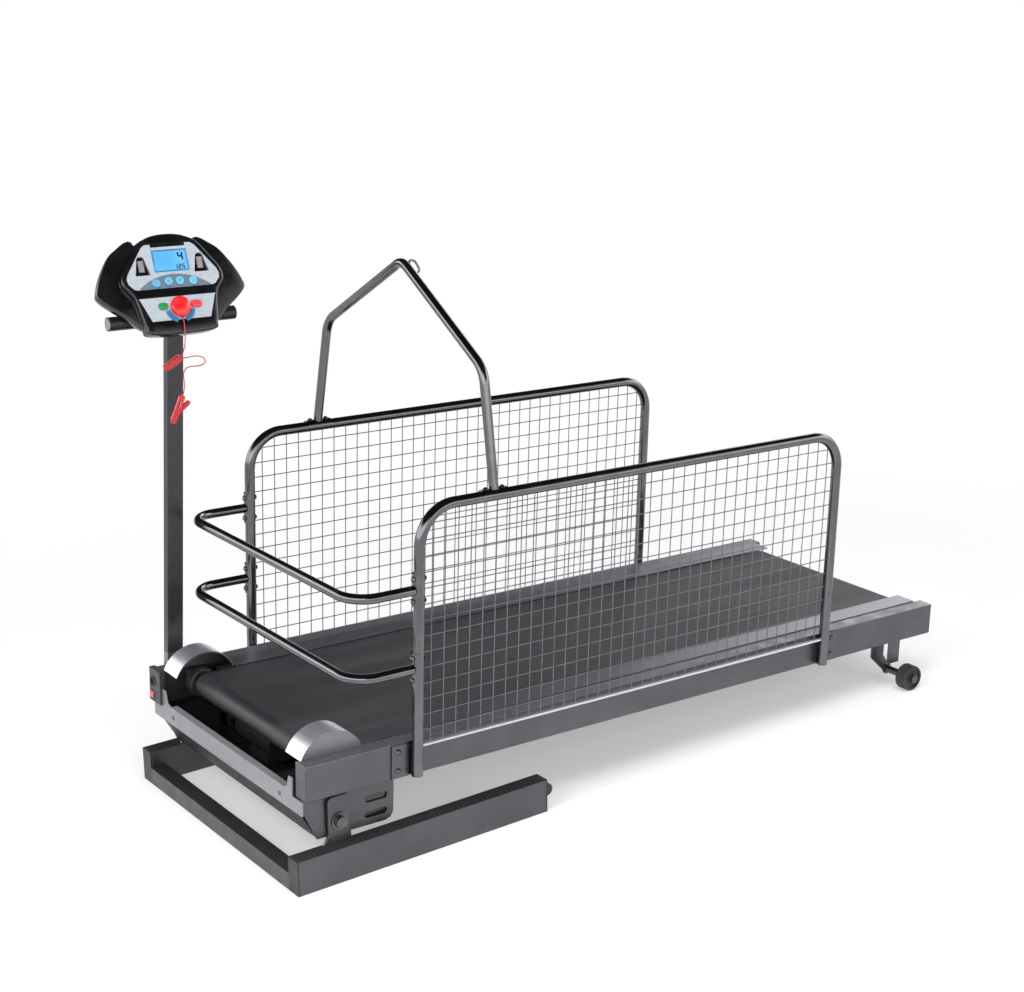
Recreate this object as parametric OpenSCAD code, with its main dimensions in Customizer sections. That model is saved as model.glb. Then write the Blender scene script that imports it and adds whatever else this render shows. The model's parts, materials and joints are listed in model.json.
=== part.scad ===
// Dog treadmill: a running deck that tilts on a U-shaped floor frame, with wire side fences,
// two front bars, a harness arch and a control console on a post.
// Lengths are in millimetres. X runs from the front cross tube to the rear, Y towards the
// console side and Z up from the floor. Deck pieces are drawn in the deck frame, whose origin
// is on the rail top, at the rail front and on the centre plane.

/* [Floor frame] */
// Floor frame beyond the side rails, on each side
base_over = 15; // [15:0.5:20]
// Length of each floor leg
leg_len = 660; // [560:5:720]
// Width of each floor leg
leg_w = 40; // [38:1:40]
// Height of each floor leg
leg_h = 80; // [74:1:82]
// Side of the square front cross tube
cross_side = 40; // [34:1:44]
// Wall of the square tubes
tube_wall = 2.5; // [2:0.5:3]
// Width of a pivot ear
ear_w = 56; // [50:1:60]
// Thickness of a pivot ear
ear_t = 6; // [5:0.5:6]
// Height of a pivot ear above its leg
ear_h = 108; // [96:1:110]
// Corner radius at the top of an ear
ear_r = 12; // [8:1:18]
// Pivot behind the middle of the front cross tube
pivot_x = 105; // [100:1:110]
// Pivot above the floor
pivot_z = 128; // [124:1:130]
// Pivot bolt diameter
pivot_d = 16; // [14:1:18]

/* [Deck] */
// Slope of the deck, falling to the rear, in degrees
incline = 2.2; // [2:0.1:2.4]
// Outer width over the side rails
deck_w = 700; // [660:5:740]
// Length of a side rail
rail_len = 1930; // [1880:5:1960]
// Width of a side rail
rail_w = 40; // [40:1:42]
// Height of a side rail
rail_h = 80; // [78:1:80]
// Pivot behind the rail front
pivot_back = 90; // [88:1:94]
// Pivot below the rail top
pivot_drop = 152; // [150:1:156]

/* [Belt and rollers] */
// Belt edge in from the outside of a side rail
belt_in = 100; // [100:1:115]
// Thickness of the running belt
belt_t = 2; // [1.6:0.1:2.4]
// Roller drum diameter
drum_d = 52; // [50:1:54]
// Roller axle diameter
axle_d = 15; // [14:0.5:17]
// Roller axis behind the rail front
roller_x = 81; // [79:1:83]
// Roller axis below the rail top
roller_drop = 30; // [30:0.5:32]
// Rear roller axis ahead of the rail end
roller_inset = 53; // [48:1:58]
// Thickness of the running board
board_t = 18; // [15:1:20]
// Width of a foot rail
foot_w = 56; // [50:1:57]
// Radius of a roller cover
cover_r = 82; // [80:1:84]

/* [Fence] */
// Fence tube diameter
fence_d = 25; // [22:1:26]
// Front post behind the rail front
fence_front = 268; // [260:1:276]
// Rear post behind the rail front
fence_rear = 1512; // [1500:1:1530]
// Top of the fence above the rail top
fence_top = 541; // [541:1:548]
// Corner bend radius of the fence tube
fence_r = 85; // [70:1:95]
// Upright wires in one fence
upright_count = 36; // [35:1:37]
// Level wires in one fence
level_count = 14; // [14:1:14]
// Mesh wire diameter
wire_d = 2.4; // [2:0.1:2.6]
// Bottom rod diameter
rod_d = 8; // [6:0.5:9]

/* [Front bars] */
// Bar tube diameter
bar_d = 22; // [20:1:23]
// Upper bar above the rail top
bar_upper = 349; // [348:1:350]
// Lower bar above the rail top
bar_lower = 171; // [170:1:172]
// Front run behind the rail front
bar_front = 104; // [100:1:115]
// Bend radius of a bar
bar_r = 62; // [50:1:70]

/* [Harness arch] */
// Arch tube diameter
arch_d = 22; // [20:1:24]
// Arch behind the rail front
arch_x = 458; // [450:1:470]
// Shoulder in from the outside of a side rail
shoulder_in = 32; // [20:1:45]
// Shoulder above the rail top
shoulder_z = 796; // [780:1:815]
// Crown of the tube axis above the rail top
crown_z = 984; // [965:1:1000]
// Bend radius at the shoulder
shoulder_r = 70; // [50:1:90]
// Bend radius at the crown
crown_r = 40; // [32:1:50]

/* [Console] */
// Console axis behind the rail front
console_x = 69.5; // [66:0.5:74]
// Console face in from the outside of a side rail
console_in = 12; // [10:1:14]
// Console face above the rail top
console_z = 908; // [904:1:912]
// Lean of the face, in degrees
console_tilt = 23; // [20:0.5:26]
// Post width along the deck
post_w = 40; // [36:1:42]
// Post depth across the deck
post_t = 20; // [18:1:22]
// Post lean to the rear, in degrees
post_lean = 1.5; // [1:0.1:2]
// Handlebar diameter
handle_d = 32; // [30:1:33]
// Handlebar length
handle_len = 317; // [300:1:340]
// Travel of a push button
button_travel = 1.2; // [0.8:0.1:1.4]

/* [Rear wheels] */
// Wheel diameter
wheel_d = 68; // [66:1:72]
// Wheel width
wheel_w = 34; // [30:1:36]
// Wheel axle ahead of the rail end
wheel_inset = 93; // [88:1:110]

/* [Lanyard] */
// Cord diameter
cord_d = 2.6; // [2.4:0.1:2.8]
// Loops in the hank
hank_loops = 4; // [3:1:5]
// Half length of the hank
hank_half = 22; // [20:1:24]

/* [Parts] */
// Sub-part to show

/* [Hidden] */
$fn = 64;
// Overrun of a cut past the face that it leaves through
over = 1;
// Gap between pieces that move past each other
slack = 0.3;
// Gap between pieces that lie together
seat = 0.1;
// Radial clearance of a running fit
fit = 0.05;
// Depth to which a welded piece is let into its neighbour
sink = 0.6;
// Length by which a straight run enters a bend, and how much fuller the bend is
lap = 0.5;
swell = 0.2;
// Sheet metal thickness
sheet = 2;
// Plate thickness of the brackets
plate = 4;
// Turn of a quarter bend and of a half turn, in degrees
quarter = 90;
half = 180;
full = 360;
half_share = 0.5;

// Planes across the deck
rail_out = deck_w * half_share;
rail_in = rail_out - rail_w;
leg_in = rail_out + base_over - leg_w;
belt_edge = rail_out - belt_in;
shoulder_y = rail_out - shoulder_in;
console_y = rail_out - console_in;

// Side plates, pivot ears and pivot bolts, out from the centre plane
side_gap = 1;
plate_out = leg_in - side_gap;
plate_in = plate_out - plate;
ear_in = plate_out + plate;
ear_out = ear_in + ear_t;
nut_t = 10;
nut_r = 14;
washer_t = 3;
washer_r = 21;
head_r = 13.5;
head_t = 9;
nib_len = 14;
nib_h = 22;

// End caps
cap_t = 4;
plug_len = 16;
bump_r = 15;
bump_drop = 25;

// Front cross member, in the deck frame
member_front = -8;
member_t = 3;
member_top = -72;
member_low = -114;
member_lip = 14;
flat_side = 88;
member_flat = rail_out - flat_side;
notch_side = 72;
notch_y = rail_out - notch_side;
notch_z = -66;
cheek_side = 64;
cheek_y = rail_out - cheek_side;
cheek_z = -40;
end_side = 7;
member_end = rail_out - end_side;

// Side plate outline and its slots
sideplate_low = -186;
sideplate_rear = 234;
sideplate_r = 24;
sideplate_nose = -4.5;
sideplate_nose_z = -98;
sideplate_toe = 40;
slot_front = 160;
slot_len = 58;
slot_h = 15;
slot_zs = [-125, -162];

// Belly pan
pan_low = -184;
pan_rear = 231;
pan_toe = 40;
pan_front = -3;
pan_rim = -88;
pan_wall_top = -62;

// Deck structure
board_front = 126;
board_gap = 0.6;
board_side = 24;
board_half = rail_in - board_side;
board_top = -(roller_drop - drum_d * half_share) - slack - board_gap;
cross_h = 28;
cross_w = 40;
cross_xs = [300, 950, 1600];
foot_front = 162;
foot_t = 3;
foot_rise = 2;
foot_rib = 10;
foot_end = 20;
belt_in_r = drum_d * half_share + slack;
belt_out_r = belt_in_r + belt_t;
rear_x = rail_len - roller_inset;
axle_end = rail_in - slack;
drum_half = belt_edge + plate;
drum_wall = 4;
web_t = 30;

// Roller brackets and tension bolts
block_t = 17;
block_w = 38;
block_h = 44;
tension_d = 8;
tension_head = 13;

// Roller covers
cover_w = 58;
cover_in = rail_in - cover_w;
cover_lap = 7;
cover_out = rail_in + cover_lap;
cover_wall = 2.5;

// Switch box on the front of the left rail
switch_front = -14;
switch_past = 6;
switch_out = rail_out + switch_past;
switch_w = 54;
switch_in = switch_out - switch_w;
switch_low = seat - rail_h;
switch_top = 2;
rocker_side = 15;
rocker_y = switch_out - rocker_side;
rocker_z = -64;
rocker_r = 8;
rocker_w = 17;
rocker_in = 2;
rocker_cut = 5;
rocker_lean = 12;
inlet_side = 17;
inlet_y = switch_out - inlet_side;
inlet_z = -30;
inlet_r = 13;
inlet_bore = 9;
inlet_t = 6;

// Drive: motor across the deck, pulleys and belt on the left side
motor_x = 172;
motor_z = -126;
motor_r = 43;
pulley_gap = 14;
pulley_in = belt_edge + pulley_gap;
pulley_w = 22;
wheel_rim = 44;
wheel_rim_gap = 50;
wheel_rim_in = pulley_in - wheel_rim_gap;
wheel_rim_t = 26;
motor_gap = 14;
motor_out = wheel_rim_in - motor_gap;
motor_len = 160;
motor_in = motor_out - motor_len;
motor_foot_w = 60;
motor_foot_len = 110;
shaft_d = 14;
shaft_len = 60;
shaft_in = motor_out - shaft_len;
pulley_r = 32;
pinion_r = 16;
drive_t = 3;
ctrl_x = 62;
ctrl_side = 20;
ctrl_y = ctrl_side - belt_edge;
ctrl_size = [100, 150, 42];
fin_count = 6;
fin_t = 3;
fin_h = 8;

// Rear brackets, axles and wheels
bracket_past = 14;
bracket_in = rail_in - bracket_past;
bracket_side = 10;
bracket_out = rail_out - bracket_side;
bracket_back = 4;
flange_w = 42;
flange_h = 65;
bracket_ahead = 66;
bracket_neck = 20;
bracket_skirt = 56;
bracket_r = 15;
wheel_axle_d = 12;
wheel_gap = 8;
wheel_in = rail_out + wheel_gap;
hub_r = 14;
sleeve_r = 10;
axle_nut_r = 11;
axle_nut_t = 6;
tread_r = 4;

// Fence, in the deck frame
fence_rad = fence_d * half_share;
fence_wall = 1.5;
fence_plate = 3.5;
fence_y = rail_out + fence_plate + fence_rad - sink;
fence_z = fence_top - fence_rad;
post_low = -78;
rod_z = -9.5;
bolt_d = 8;
bolt_hole = 8.4;
bolt_len = 12;
dome_r = 7;
dome_h = 5;
tab_len = 58;
tab_lap = 8;
tab_low = -79;
tab_top = -2;
tab_bolt = 42;
tab_zs = [-18, -62];
saddle_t = 3;
saddle_h = 74;
saddle_turn = 130;
bar_bolt = 25;
arch_saddle = 66;
arch_bolt = 22;
arch_wall = 1.5;
hook_wire = 5;
hook_pts = [[0, 0], [0, 9], [22, 9], [40, -6], [36, -14]];
hook_rs = [0, 6, 9, 4];
hook_y = -30;

// Console post and its foot
post_x = 55;
post_z = 50;
post_low_z = -79;
post_in = rail_out + plate;
post_y = post_in + post_t * half_share;
post_foot_w = 96;
post_bolt = 33;
post_bolt_z = -40;
handle_y = post_y;
handle_below = 79;
handle_back = 2.5;
handle_z = console_z - handle_below;
handle_x = console_x + handle_back;
handle_wall = 2;
grip_cap_t = 5;
head_w = 90;
head_up = 8.5;
head_low = (handle_y - console_y) * sin(console_tilt) - handle_below * cos(console_tilt) + head_up;
head_top = 28;

// Console, in the frame of its face: along the bar, up the face and out of it
shell_r = 9;
shell_edge = 4;
body_back = -28;
wing_front = -16;
wing_back = -37;
back_depth = -52;
chin_depth = -36;
body_half = [[18, 112], [45, 106], [70, 93], [115, 30], [117, 12], [99, -12]];
chin_half = [[97, -14], [92, -30], [82, -84], [74, -99]];
wing_half = [[80, 100], [117, 87], [150, 50], [173, 4], [173, -12], [124, -50], [86, -80]];
back_half = [[60, 90], [104, 18], [96, -34]];
pocket = 4;
fascia_rise = 0.5;
fascia_half = [[57, 98], [66, 92], [110, 34], [115, 22], [113, 11], [101, -2], [93, -4]];
visor_w = 86;
visor_y = 91;
lower_half = [[95, -24], [73, -78]];
display_size = [87, 51];
display_y = 59;
display_rise = 0.8;
pod_x = 73;
pod_y = 50;
pod_w = 37;
pod_top = 20;
pod_h = 43;
pod_r = 8;
insert_w = 13;
insert_h = 26;
insert_t = 2.5;
lens_half = 90;
lens_sag = 31;
lens_y = -3.4;
lens_rise = 0.9;
button_r = 10;
button_rise = 2.6;
button_gap = 0.4;
button_base = -pocket + button_gap + button_travel;
program_xs = [-46, -15, 13, 46];
program_ys = [8.5, 11, 11, 8.5];
start_xy = [-40, -45];
start_size = [24, 16];
stop_xy = [42, -45];
stop_size = [28, 17];
key_xy = [0, -49];
key_r = 23.5;
key_t = 10;
key_dome = 4;
key_boss_r = 8;
key_boss = 3;
arc_in = 27;
arc_out = 37;
arc_turn = 34;
slower_at = 209;
faster_at = 331;

// Lanyard: points from the key's lower edge, along the floor frame's axes
cord_sides = 8;
cord_steps = 5;
upper_run = [
  [0, 0, 0], [0, -3, -8], [-2, -10, -24], [-7, -20, -42], [-14, -30, -57], [-21, -37.5, -67],
  [-25.5, -40, -75], [-26.4, -37.5, -80.5]
];
lower_run = [
  [-19.8, -9, -94.8], [-17.8, -4.5, -94.9], [-12.5, -2, -95.2], [-5, -3, -95], [3, -7.5, -94],
  [12, -14.5, -91.5], [23, -23.5, -91], [31, -30, -95.5], [33, -32, -102.5], [29, -30, -109.5],
  [18, -23.5, -113], [5, -15.5, -114], [-6, -11.5, -118], [-12.5, -13, -127], [-14.5, -16, -140],
  [-14.8, -17, -157], [-17.5, -17, -170.6], [-20, -17, -176]
];
cord_turn = 6;
hank_mid = [-42.6, -20, -98.9];
hank_lean = 27.6;
hank_depth = 8;
hank_pitch = 3.5;
hank_waist_share = 0.12;
hank_tiny_share = 0.001;
cord_gap = 0.4;
hank_rings = 24;
hank_sides = 6;

// Clip on the lanyard's end
clip_len = 70;
clip_w = 15;
clip_t = 4;
clip_lean = 25;
clip_pin_at = 52;
clip_pin_d = 4;
rivet_t = 1;
clip_slot_w = 5;
clip_slot_len = 16;
lever_len = 52;
lever_t = 4;
lever_lean = -29;
lever_w = 11;
lever_end_share = 0.84;

// Deck point in the floor frame's axes
function to_floor(p) = [
  pivot_x + (p[0] - pivot_back) * cos(incline) + (p[2] + pivot_drop) * sin(incline),
  p[1],
  pivot_z - (p[0] - pivot_back) * sin(incline) + (p[2] + pivot_drop) * cos(incline)
];

// Wheel axle in the deck frame, placed so that the wheels stand on the floor
wheel_fall = (rail_len - wheel_inset - pivot_back) * sin(incline);
wheel_at = [
  rail_len - wheel_inset,
  (wheel_d * half_share - pivot_z + wheel_fall) / cos(incline) - pivot_drop
];

// Console point in the deck frame
function on_face(p) = [
  console_x + p[0],
  console_y + p[1] * sin(console_tilt) - p[2] * cos(console_tilt),
  console_z + p[1] * cos(console_tilt) + p[2] * sin(console_tilt)
];
cord_from = to_floor(on_face([key_xy[0], key_xy[1] - key_r, fascia_rise + key_t * half_share]));

// Outline with its mirror image about the first axis
function both_sides(pts) = concat(pts, [for (i = [len(pts) - 1 : -1 : 0]) [-pts[i][0], pts[i][1]]]);

module on_deck() {
  translate([pivot_x, 0, pivot_z]) {
    rotate([0, incline, 0]) {
      translate([-pivot_back, 0, pivot_drop]) children();
    }
  }
}

module on_console() {
  on_deck() translate([console_x, console_y, console_z]) rotate([quarter - console_tilt, 0, 0]) children();
}

// The children and their mirror image across the centre plane
module pair() {
  children();
  mirror([0, 1, 0]) children();
}

// A shape drawn in X and Z, given thickness along Y from y0 to y1
module slab(y0, y1) {
  translate([0, y1, 0]) rotate([quarter, 0, 0]) linear_extrude(height = y1 - y0) children();
}

// A cylinder along Y
module pin(x, z, y0, y1, r) {
  translate([x, y0, z]) rotate([-quarter, 0, 0]) cylinder(h = y1 - y0, r = r);
}

// A box from its two corners
module box(a, b) {
  translate(a) cube(b - a);
}

// Tube bent in one plane through the points, with a bend radius at each inner point
function turn_of(a, b) = let (t = b - a) t > half ? t - full : (t <= -half ? t + full : t);
module bent(pts, rs, d) {
  n = len(pts);
  angs = [for (i = [0 : n - 2]) atan2(pts[i + 1][1] - pts[i][1], pts[i + 1][0] - pts[i][0])];
  turns = [for (i = [0 : n - 1]) (i == 0 || i == n - 1) ? 0 : turn_of(angs[i - 1], angs[i])];
  cuts = [for (i = [0 : n - 1]) turns[i] == 0 ? 0 : rs[i] * tan(abs(turns[i]) * half_share)];
  for (i = [0 : n - 2]) {
    from = i == 0 ? 0 : cuts[i] - lap;
    to = norm(pts[i + 1] - pts[i]) - (i == n - 2 ? 0 : cuts[i + 1] - lap);
    translate([pts[i][0], pts[i][1], 0]) rotate([0, 0, angs[i]]) translate([from, 0, 0]) {
      rotate([0, quarter, 0]) cylinder(h = to - from, d = d);
    }
  }
  for (i = [1 : n - 2]) {
    side = turns[i] > 0 ? 1 : -1;
    lead = angs[i - 1];
    translate([pts[i][0], pts[i][1], 0]) rotate([0, 0, lead]) translate([-cuts[i], side * rs[i], 0]) {
      rotate([0, 0, side > 0 ? -quarter : quarter + turns[i]]) {
        rotate_extrude(angle = abs(turns[i])) translate([rs[i], 0]) circle(d = d + swell);
      }
    }
  }
}

// Domed bolt head on the plane z = 0
module dome() {
  cap_r = (dome_r * dome_r + dome_h * dome_h) / (dome_h + dome_h);
  intersection() {
    translate([0, 0, dome_h - cap_r]) sphere(r = cap_r);
    cylinder(h = dome_h + over, r = dome_r + over);
  }
}

// Bolt with a domed head on z = 0 and its shank below
module dome_bolt(length) {
  union() {
    dome();
    translate([0, 0, -length]) cylinder(h = length + sink, d = bolt_d);
  }
}

module leg() {
  front = cap_t - cross_side * half_share;
  rear = leg_len - cross_side * half_share;
  color([0.30, 0.31, 0.33]) difference() {
    box([front, leg_in, 0], [rear, leg_in + leg_w, leg_h]);
    box(
      [front - over, leg_in + tube_wall, tube_wall],
      [rear + over, leg_in + leg_w - tube_wall, leg_h - tube_wall]
    );
  }
}

module base_leg_right() {
  mirror([0, 1, 0]) leg();
}

module base_leg_left() {
  leg();
}

module base_cross_tube() {
  s = cross_side * half_share;
  color([0.30, 0.31, 0.33]) difference() {
    box([-s, -leg_in, 0], [s, leg_in, cross_side]);
    box([tube_wall - s, -leg_in - over, tube_wall], [s - tube_wall, leg_in + over, cross_side - tube_wall]);
  }
}

module ear_outline() {
  s = ear_w * half_share;
  translate([pivot_x - s, leg_h]) square([ear_w, ear_h - ear_r]);
  translate([pivot_x - s + ear_r, leg_h]) square([ear_w - ear_r - ear_r, ear_h]);
  translate([pivot_x - s + ear_r, leg_h + ear_h - ear_r]) circle(r = ear_r);
  translate([pivot_x + s - ear_r, leg_h + ear_h - ear_r]) circle(r = ear_r);
  front = pivot_x - s;
  polygon([[front - nib_len, leg_h], [front + over, leg_h], [front + over, leg_h + nib_h]]);
}

module pivot_ears() {
  color([0.30, 0.31, 0.33]) pair() difference() {
    slab(ear_in, ear_out) ear_outline();
    pin(pivot_x, pivot_z, ear_in - over, ear_out + over, pivot_d * half_share + fit);
  }
}

// Plug of a leg cap between two places along the leg
module leg_plug(from, to) {
  box(
    [from, leg_in + tube_wall + seat, tube_wall + seat],
    [to, leg_in + leg_w - tube_wall - seat, leg_h - tube_wall - seat]
  );
}

module leg_end_caps() {
  front = -cross_side * half_share;
  rear = leg_len - cross_side * half_share;
  color([0.06, 0.06, 0.07]) pair() {
    union() {
      box([front, leg_in, 0], [front + cap_t, leg_in + leg_w, leg_h]);
      leg_plug(front + cap_t - sink, front + cap_t + plug_len);
    }
    union() {
      box([rear, leg_in, 0], [rear + cap_t, leg_in + leg_w, leg_h]);
      leg_plug(rear - plug_len, rear + sink);
      slab(leg_in, leg_in + leg_w) intersection() {
        translate([rear + cap_t - sink, leg_h - bump_drop]) circle(r = bump_r);
        translate([rear + sink, 0]) square([leg_w, leg_h]);
      }
    }
  }
}

module pivot_bolts() {
  color([0.10, 0.10, 0.11]) pair() union() {
    pin(pivot_x, pivot_z, plate_in - seat - nut_t, ear_out + slack + washer_t, pivot_d * half_share);
    translate([pivot_x, plate_in - seat, pivot_z]) rotate([quarter, 0, 0]) {
      cylinder(h = nut_t, r = nut_r, $fn = 6);
    }
    pin(pivot_x, pivot_z, plate_out + seat, ear_in - slack, pivot_d);
    pin(pivot_x, pivot_z, ear_out + slack, ear_out + slack + washer_t, washer_r);
    pin(pivot_x, pivot_z, ear_out + slack + washer_t - sink, ear_out + slack + washer_t + head_t, head_r);
  }
}

module tab_holes() {
  for (z = tab_zs) {
    pin(fence_front - tab_bolt, z, rail_in + tube_wall + over, fence_y, bolt_hole * half_share);
    pin(fence_rear + tab_bolt, z, rail_in + tube_wall + over, fence_y, bolt_hole * half_share);
  }
}

module post_holes() {
  for (x = [post_x - post_bolt, post_x + post_bolt]) {
    pin(x, post_bolt_z, rail_in + tube_wall + over, fence_y, bolt_hole * half_share);
  }
}

module rail() {
  difference() {
    box([0, rail_in, -rail_h], [rail_len, rail_out, 0]);
    box(
      [-over, rail_in + tube_wall, tube_wall - rail_h],
      [rail_len + over, rail_out - tube_wall, -tube_wall]
    );
    tab_holes();
  }
}

module side_rail_right() {
  color([0.34, 0.35, 0.37]) on_deck() mirror([0, 1, 0]) rail();
}

module side_rail_left() {
  color([0.34, 0.35, 0.37]) on_deck() difference() {
    rail();
    post_holes();
  }
}

module member_outline() {
  end = switch_in - seat;
  under = -rail_h - sheet;
  polygon(both_sides([
    [member_end, member_low], [member_end, under], [end, under], [end, cheek_z],
    [cheek_y, cheek_z], [notch_y, notch_z], [member_flat, member_top]
  ]));
}

module front_cross_member() {
  color([0.55, 0.56, 0.58]) on_deck() union() {
    translate([member_front, 0, 0]) rotate([quarter, 0, quarter]) {
      linear_extrude(height = member_t) member_outline();
    }
    box(
      [member_front + sink, -member_flat, member_top - member_t],
      [member_front + member_lip + plate, member_flat, member_top]
    );
    box(
      [member_front + sink, -plate_in + over, member_low],
      [member_front + member_lip, plate_in - over, member_low + member_t]
    );
  }
}

module deck_cross_tubes() {
  top = board_top - board_t - seat;
  s = cross_w * half_share;
  color([0.30, 0.31, 0.33]) on_deck() for (x = cross_xs) {
    difference() {
      box([x - s, -rail_in + seat, top - cross_h], [x + s, rail_in - seat, top]);
      box(
        [x - s + tube_wall, -rail_in - over, top - cross_h + tube_wall],
        [x + s - tube_wall, rail_in + over, top - tube_wall]
      );
    }
  }
}

module sideplate_outline() {
  difference() {
    union() {
      polygon([
        [0, -rail_h], [sideplate_nose, sideplate_nose_z], [sideplate_toe, sideplate_low],
        [sideplate_rear - sideplate_r, sideplate_low], [sideplate_rear - sideplate_r, -rail_h]
      ]);
      translate([sideplate_rear - sideplate_r - over, sideplate_low + sideplate_r]) {
        square([sideplate_r + over, -rail_h - sideplate_low - sideplate_r]);
      }
      translate([sideplate_rear - sideplate_r, sideplate_low + sideplate_r]) circle(r = sideplate_r);
    }
    for (z = slot_zs) {
      translate([slot_front + slot_len * half_share, z]) oval([slot_len, slot_h]);
    }
    translate([pivot_back, -pivot_drop]) circle(d = pivot_d + fit + fit);
  }
}

module side_plates() {
  color([0.28, 0.29, 0.31]) on_deck() pair() slab(plate_in, plate_out) sideplate_outline();
}

module belly_pan() {
  color([0.16, 0.16, 0.17]) on_deck() union() {
    slab(-plate_in + slack, plate_in - slack) polygon([
      [pan_front, member_low - seat], [pan_toe, pan_low], [pan_rear, pan_low], [pan_rear, pan_rim],
      [pan_rear - sheet, pan_rim], [pan_rear - sheet, pan_low + sheet], [pan_toe + over, pan_low + sheet],
      [pan_front + sheet, member_low - seat]
    ]);
    box(
      [pan_rear - sheet, slack - rail_in, pan_rim - sink],
      [pan_rear, rail_in - slack, pan_wall_top]
    );
  }
}

module running_board() {
  color([0.05, 0.05, 0.05]) on_deck() box(
    [board_front, -board_half, board_top - board_t],
    [rear_x - board_front + roller_x, board_half, board_top]
  );
}

module belt_outline(r) {
  translate([roller_x, -roller_drop]) circle(r = r);
  translate([rear_x, -roller_drop]) circle(r = r);
  translate([roller_x, -roller_drop - r]) square([rear_x - roller_x, r + r]);
}

module running_belt() {
  color([0.14, 0.15, 0.16]) on_deck() slab(-belt_edge, belt_edge) difference() {
    belt_outline(belt_out_r);
    belt_outline(belt_in_r);
  }
}

module foot_rails() {
  color([0.72, 0.72, 0.76]) on_deck() pair() union() {
    box(
      [foot_front, rail_in - sheet - foot_w, foot_rise - foot_t],
      [rail_len - foot_end, rail_in - sheet, foot_rise]
    );
    box(
      [foot_front, board_half - foot_rib - foot_rib, board_top + seat],
      [rail_len - foot_end - roller_inset - foot_w, board_half - foot_rib, foot_rise - sink]
    );
  }
}

module rail_cap(depth) {
  box([-cap_t, rail_in, -rail_h], [0, rail_out, 0]);
  box(
    [-sink, rail_in + tube_wall + seat, tube_wall + seat - rail_h],
    [depth, rail_out - tube_wall - seat, -tube_wall - seat]
  );
}

module rail_end_caps() {
  color([0.10, 0.10, 0.11]) on_deck() {
    mirror([0, 1, 0]) union() rail_cap(plug_len);
    pair() translate([rail_len, 0, 0]) mirror([1, 0, 0]) union() rail_cap(plug_len);
  }
}

module cover_outline(r) {
  intersection() {
    translate([roller_x, -roller_drop]) circle(r = r);
    translate([roller_x - cover_r, seat]) square([cover_r + cover_r, cover_r]);
  }
}

module roller_covers() {
  color([0.75, 0.76, 0.78]) on_deck() pair() difference() {
    slab(cover_in, cover_out) cover_outline(cover_r);
    slab(cover_in - over, cover_out - cover_wall) translate([0, -over]) cover_outline(cover_r - cover_wall);
    slab(cover_in - over, cover_out - cover_wall) {
      translate([roller_x - cover_r * half_share, -over]) square([cover_r, over + over]);
    }
  }
}

module rocker_round(r, w) {
  pin(switch_front + rocker_in, rocker_z, rocker_y - w * half_share, rocker_y + w * half_share, r);
}

module switch_box() {
  color([0.42, 0.43, 0.45]) on_deck() difference() {
    union() {
      box([switch_front, switch_in, switch_low], [0, switch_out, switch_top]);
      box(
        [-sink, rail_in + tube_wall + seat, tube_wall + seat - rail_h],
        [plug_len, rail_out - tube_wall - seat, -tube_wall - seat]
      );
    }
    rocker_round(rocker_r + slack, rocker_w + slack + slack);
    translate([switch_front - over, inlet_y, inlet_z]) rotate([0, quarter, 0]) {
      cylinder(h = inlet_t + over, r = inlet_r + seat);
    }
  }
}

module power_rocker() {
  color([0.75, 0.08, 0.08]) on_deck() difference() {
    rocker_round(rocker_r, rocker_w);
    for (s = [-1, 1]) {
      lean = s * (rocker_lean + rocker_lean);
      translate([switch_front + rocker_in, rocker_y, rocker_z]) rotate([0, lean, 0]) {
        box([-rocker_r - rocker_r, -rocker_w, -rocker_r], [-rocker_cut - over, rocker_w, rocker_r]);
      }
    }
  }
}

module power_inlet() {
  color([0.04, 0.04, 0.04]) on_deck() translate([switch_front, inlet_y, inlet_z]) {
    rotate([0, quarter, 0]) difference() {
      translate([0, 0, -sheet]) cylinder(h = inlet_t + sheet, r = inlet_r);
      translate([0, 0, -sheet - over]) cylinder(h = inlet_t + over, r = inlet_bore);
    }
  }
}

module bracket_block(x) {
  difference() {
    box(
      [x - block_w * half_share, rail_in - block_t, -roller_drop - block_h * half_share],
      [x + block_w * half_share, rail_in - seat, -roller_drop + block_h * half_share]
    );
    pin(x, -roller_drop, rail_in - block_t - over, rail_in + over, axle_d * half_share + fit);
    translate([x, rail_in - block_t * half_share, -roller_drop]) rotate([0, quarter, 0]) {
      cylinder(h = block_w, d = tension_d + seat);
    }
  }
}

// Screw that sets the roller's place in its block
module tension_bolt(x) {
  near = axle_d * half_share + slack + slack;
  translate([x + near, rail_in - block_t * half_share, -roller_drop]) rotate([0, quarter, 0]) union() {
    cylinder(h = block_w * half_share - near + sink, d = tension_d);
    translate([0, 0, block_w * half_share - near + seat]) cylinder(h = tension_d, d = tension_head, $fn = 6);
  }
}

module roller_brackets() {
  color([0.62, 0.63, 0.65]) on_deck() pair() for (x = [roller_x, rear_x]) {
    bracket_block(x);
    tension_bolt(x);
  }
}

// Drum that is open at both ends around a middle web
module drum(x) {
  difference() {
    pin(x, -roller_drop, -drum_half, drum_half, drum_d * half_share);
    pin(x, -roller_drop, web_t, drum_half + over, drum_d * half_share - drum_wall);
    pin(x, -roller_drop, -drum_half - over, -web_t, drum_d * half_share - drum_wall);
  }
}

module front_roller() {
  color([0.55, 0.56, 0.58]) on_deck() union() {
    drum(roller_x);
    pin(roller_x, -roller_drop, -axle_end, axle_end, axle_d * half_share);
    pin(roller_x, -roller_drop, pulley_in, pulley_in + pulley_w, pulley_r);
  }
}

module rear_roller() {
  color([0.55, 0.56, 0.58]) on_deck() union() {
    drum(rear_x);
    pin(rear_x, -roller_drop, -axle_end, axle_end, axle_d * half_share);
  }
}

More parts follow.
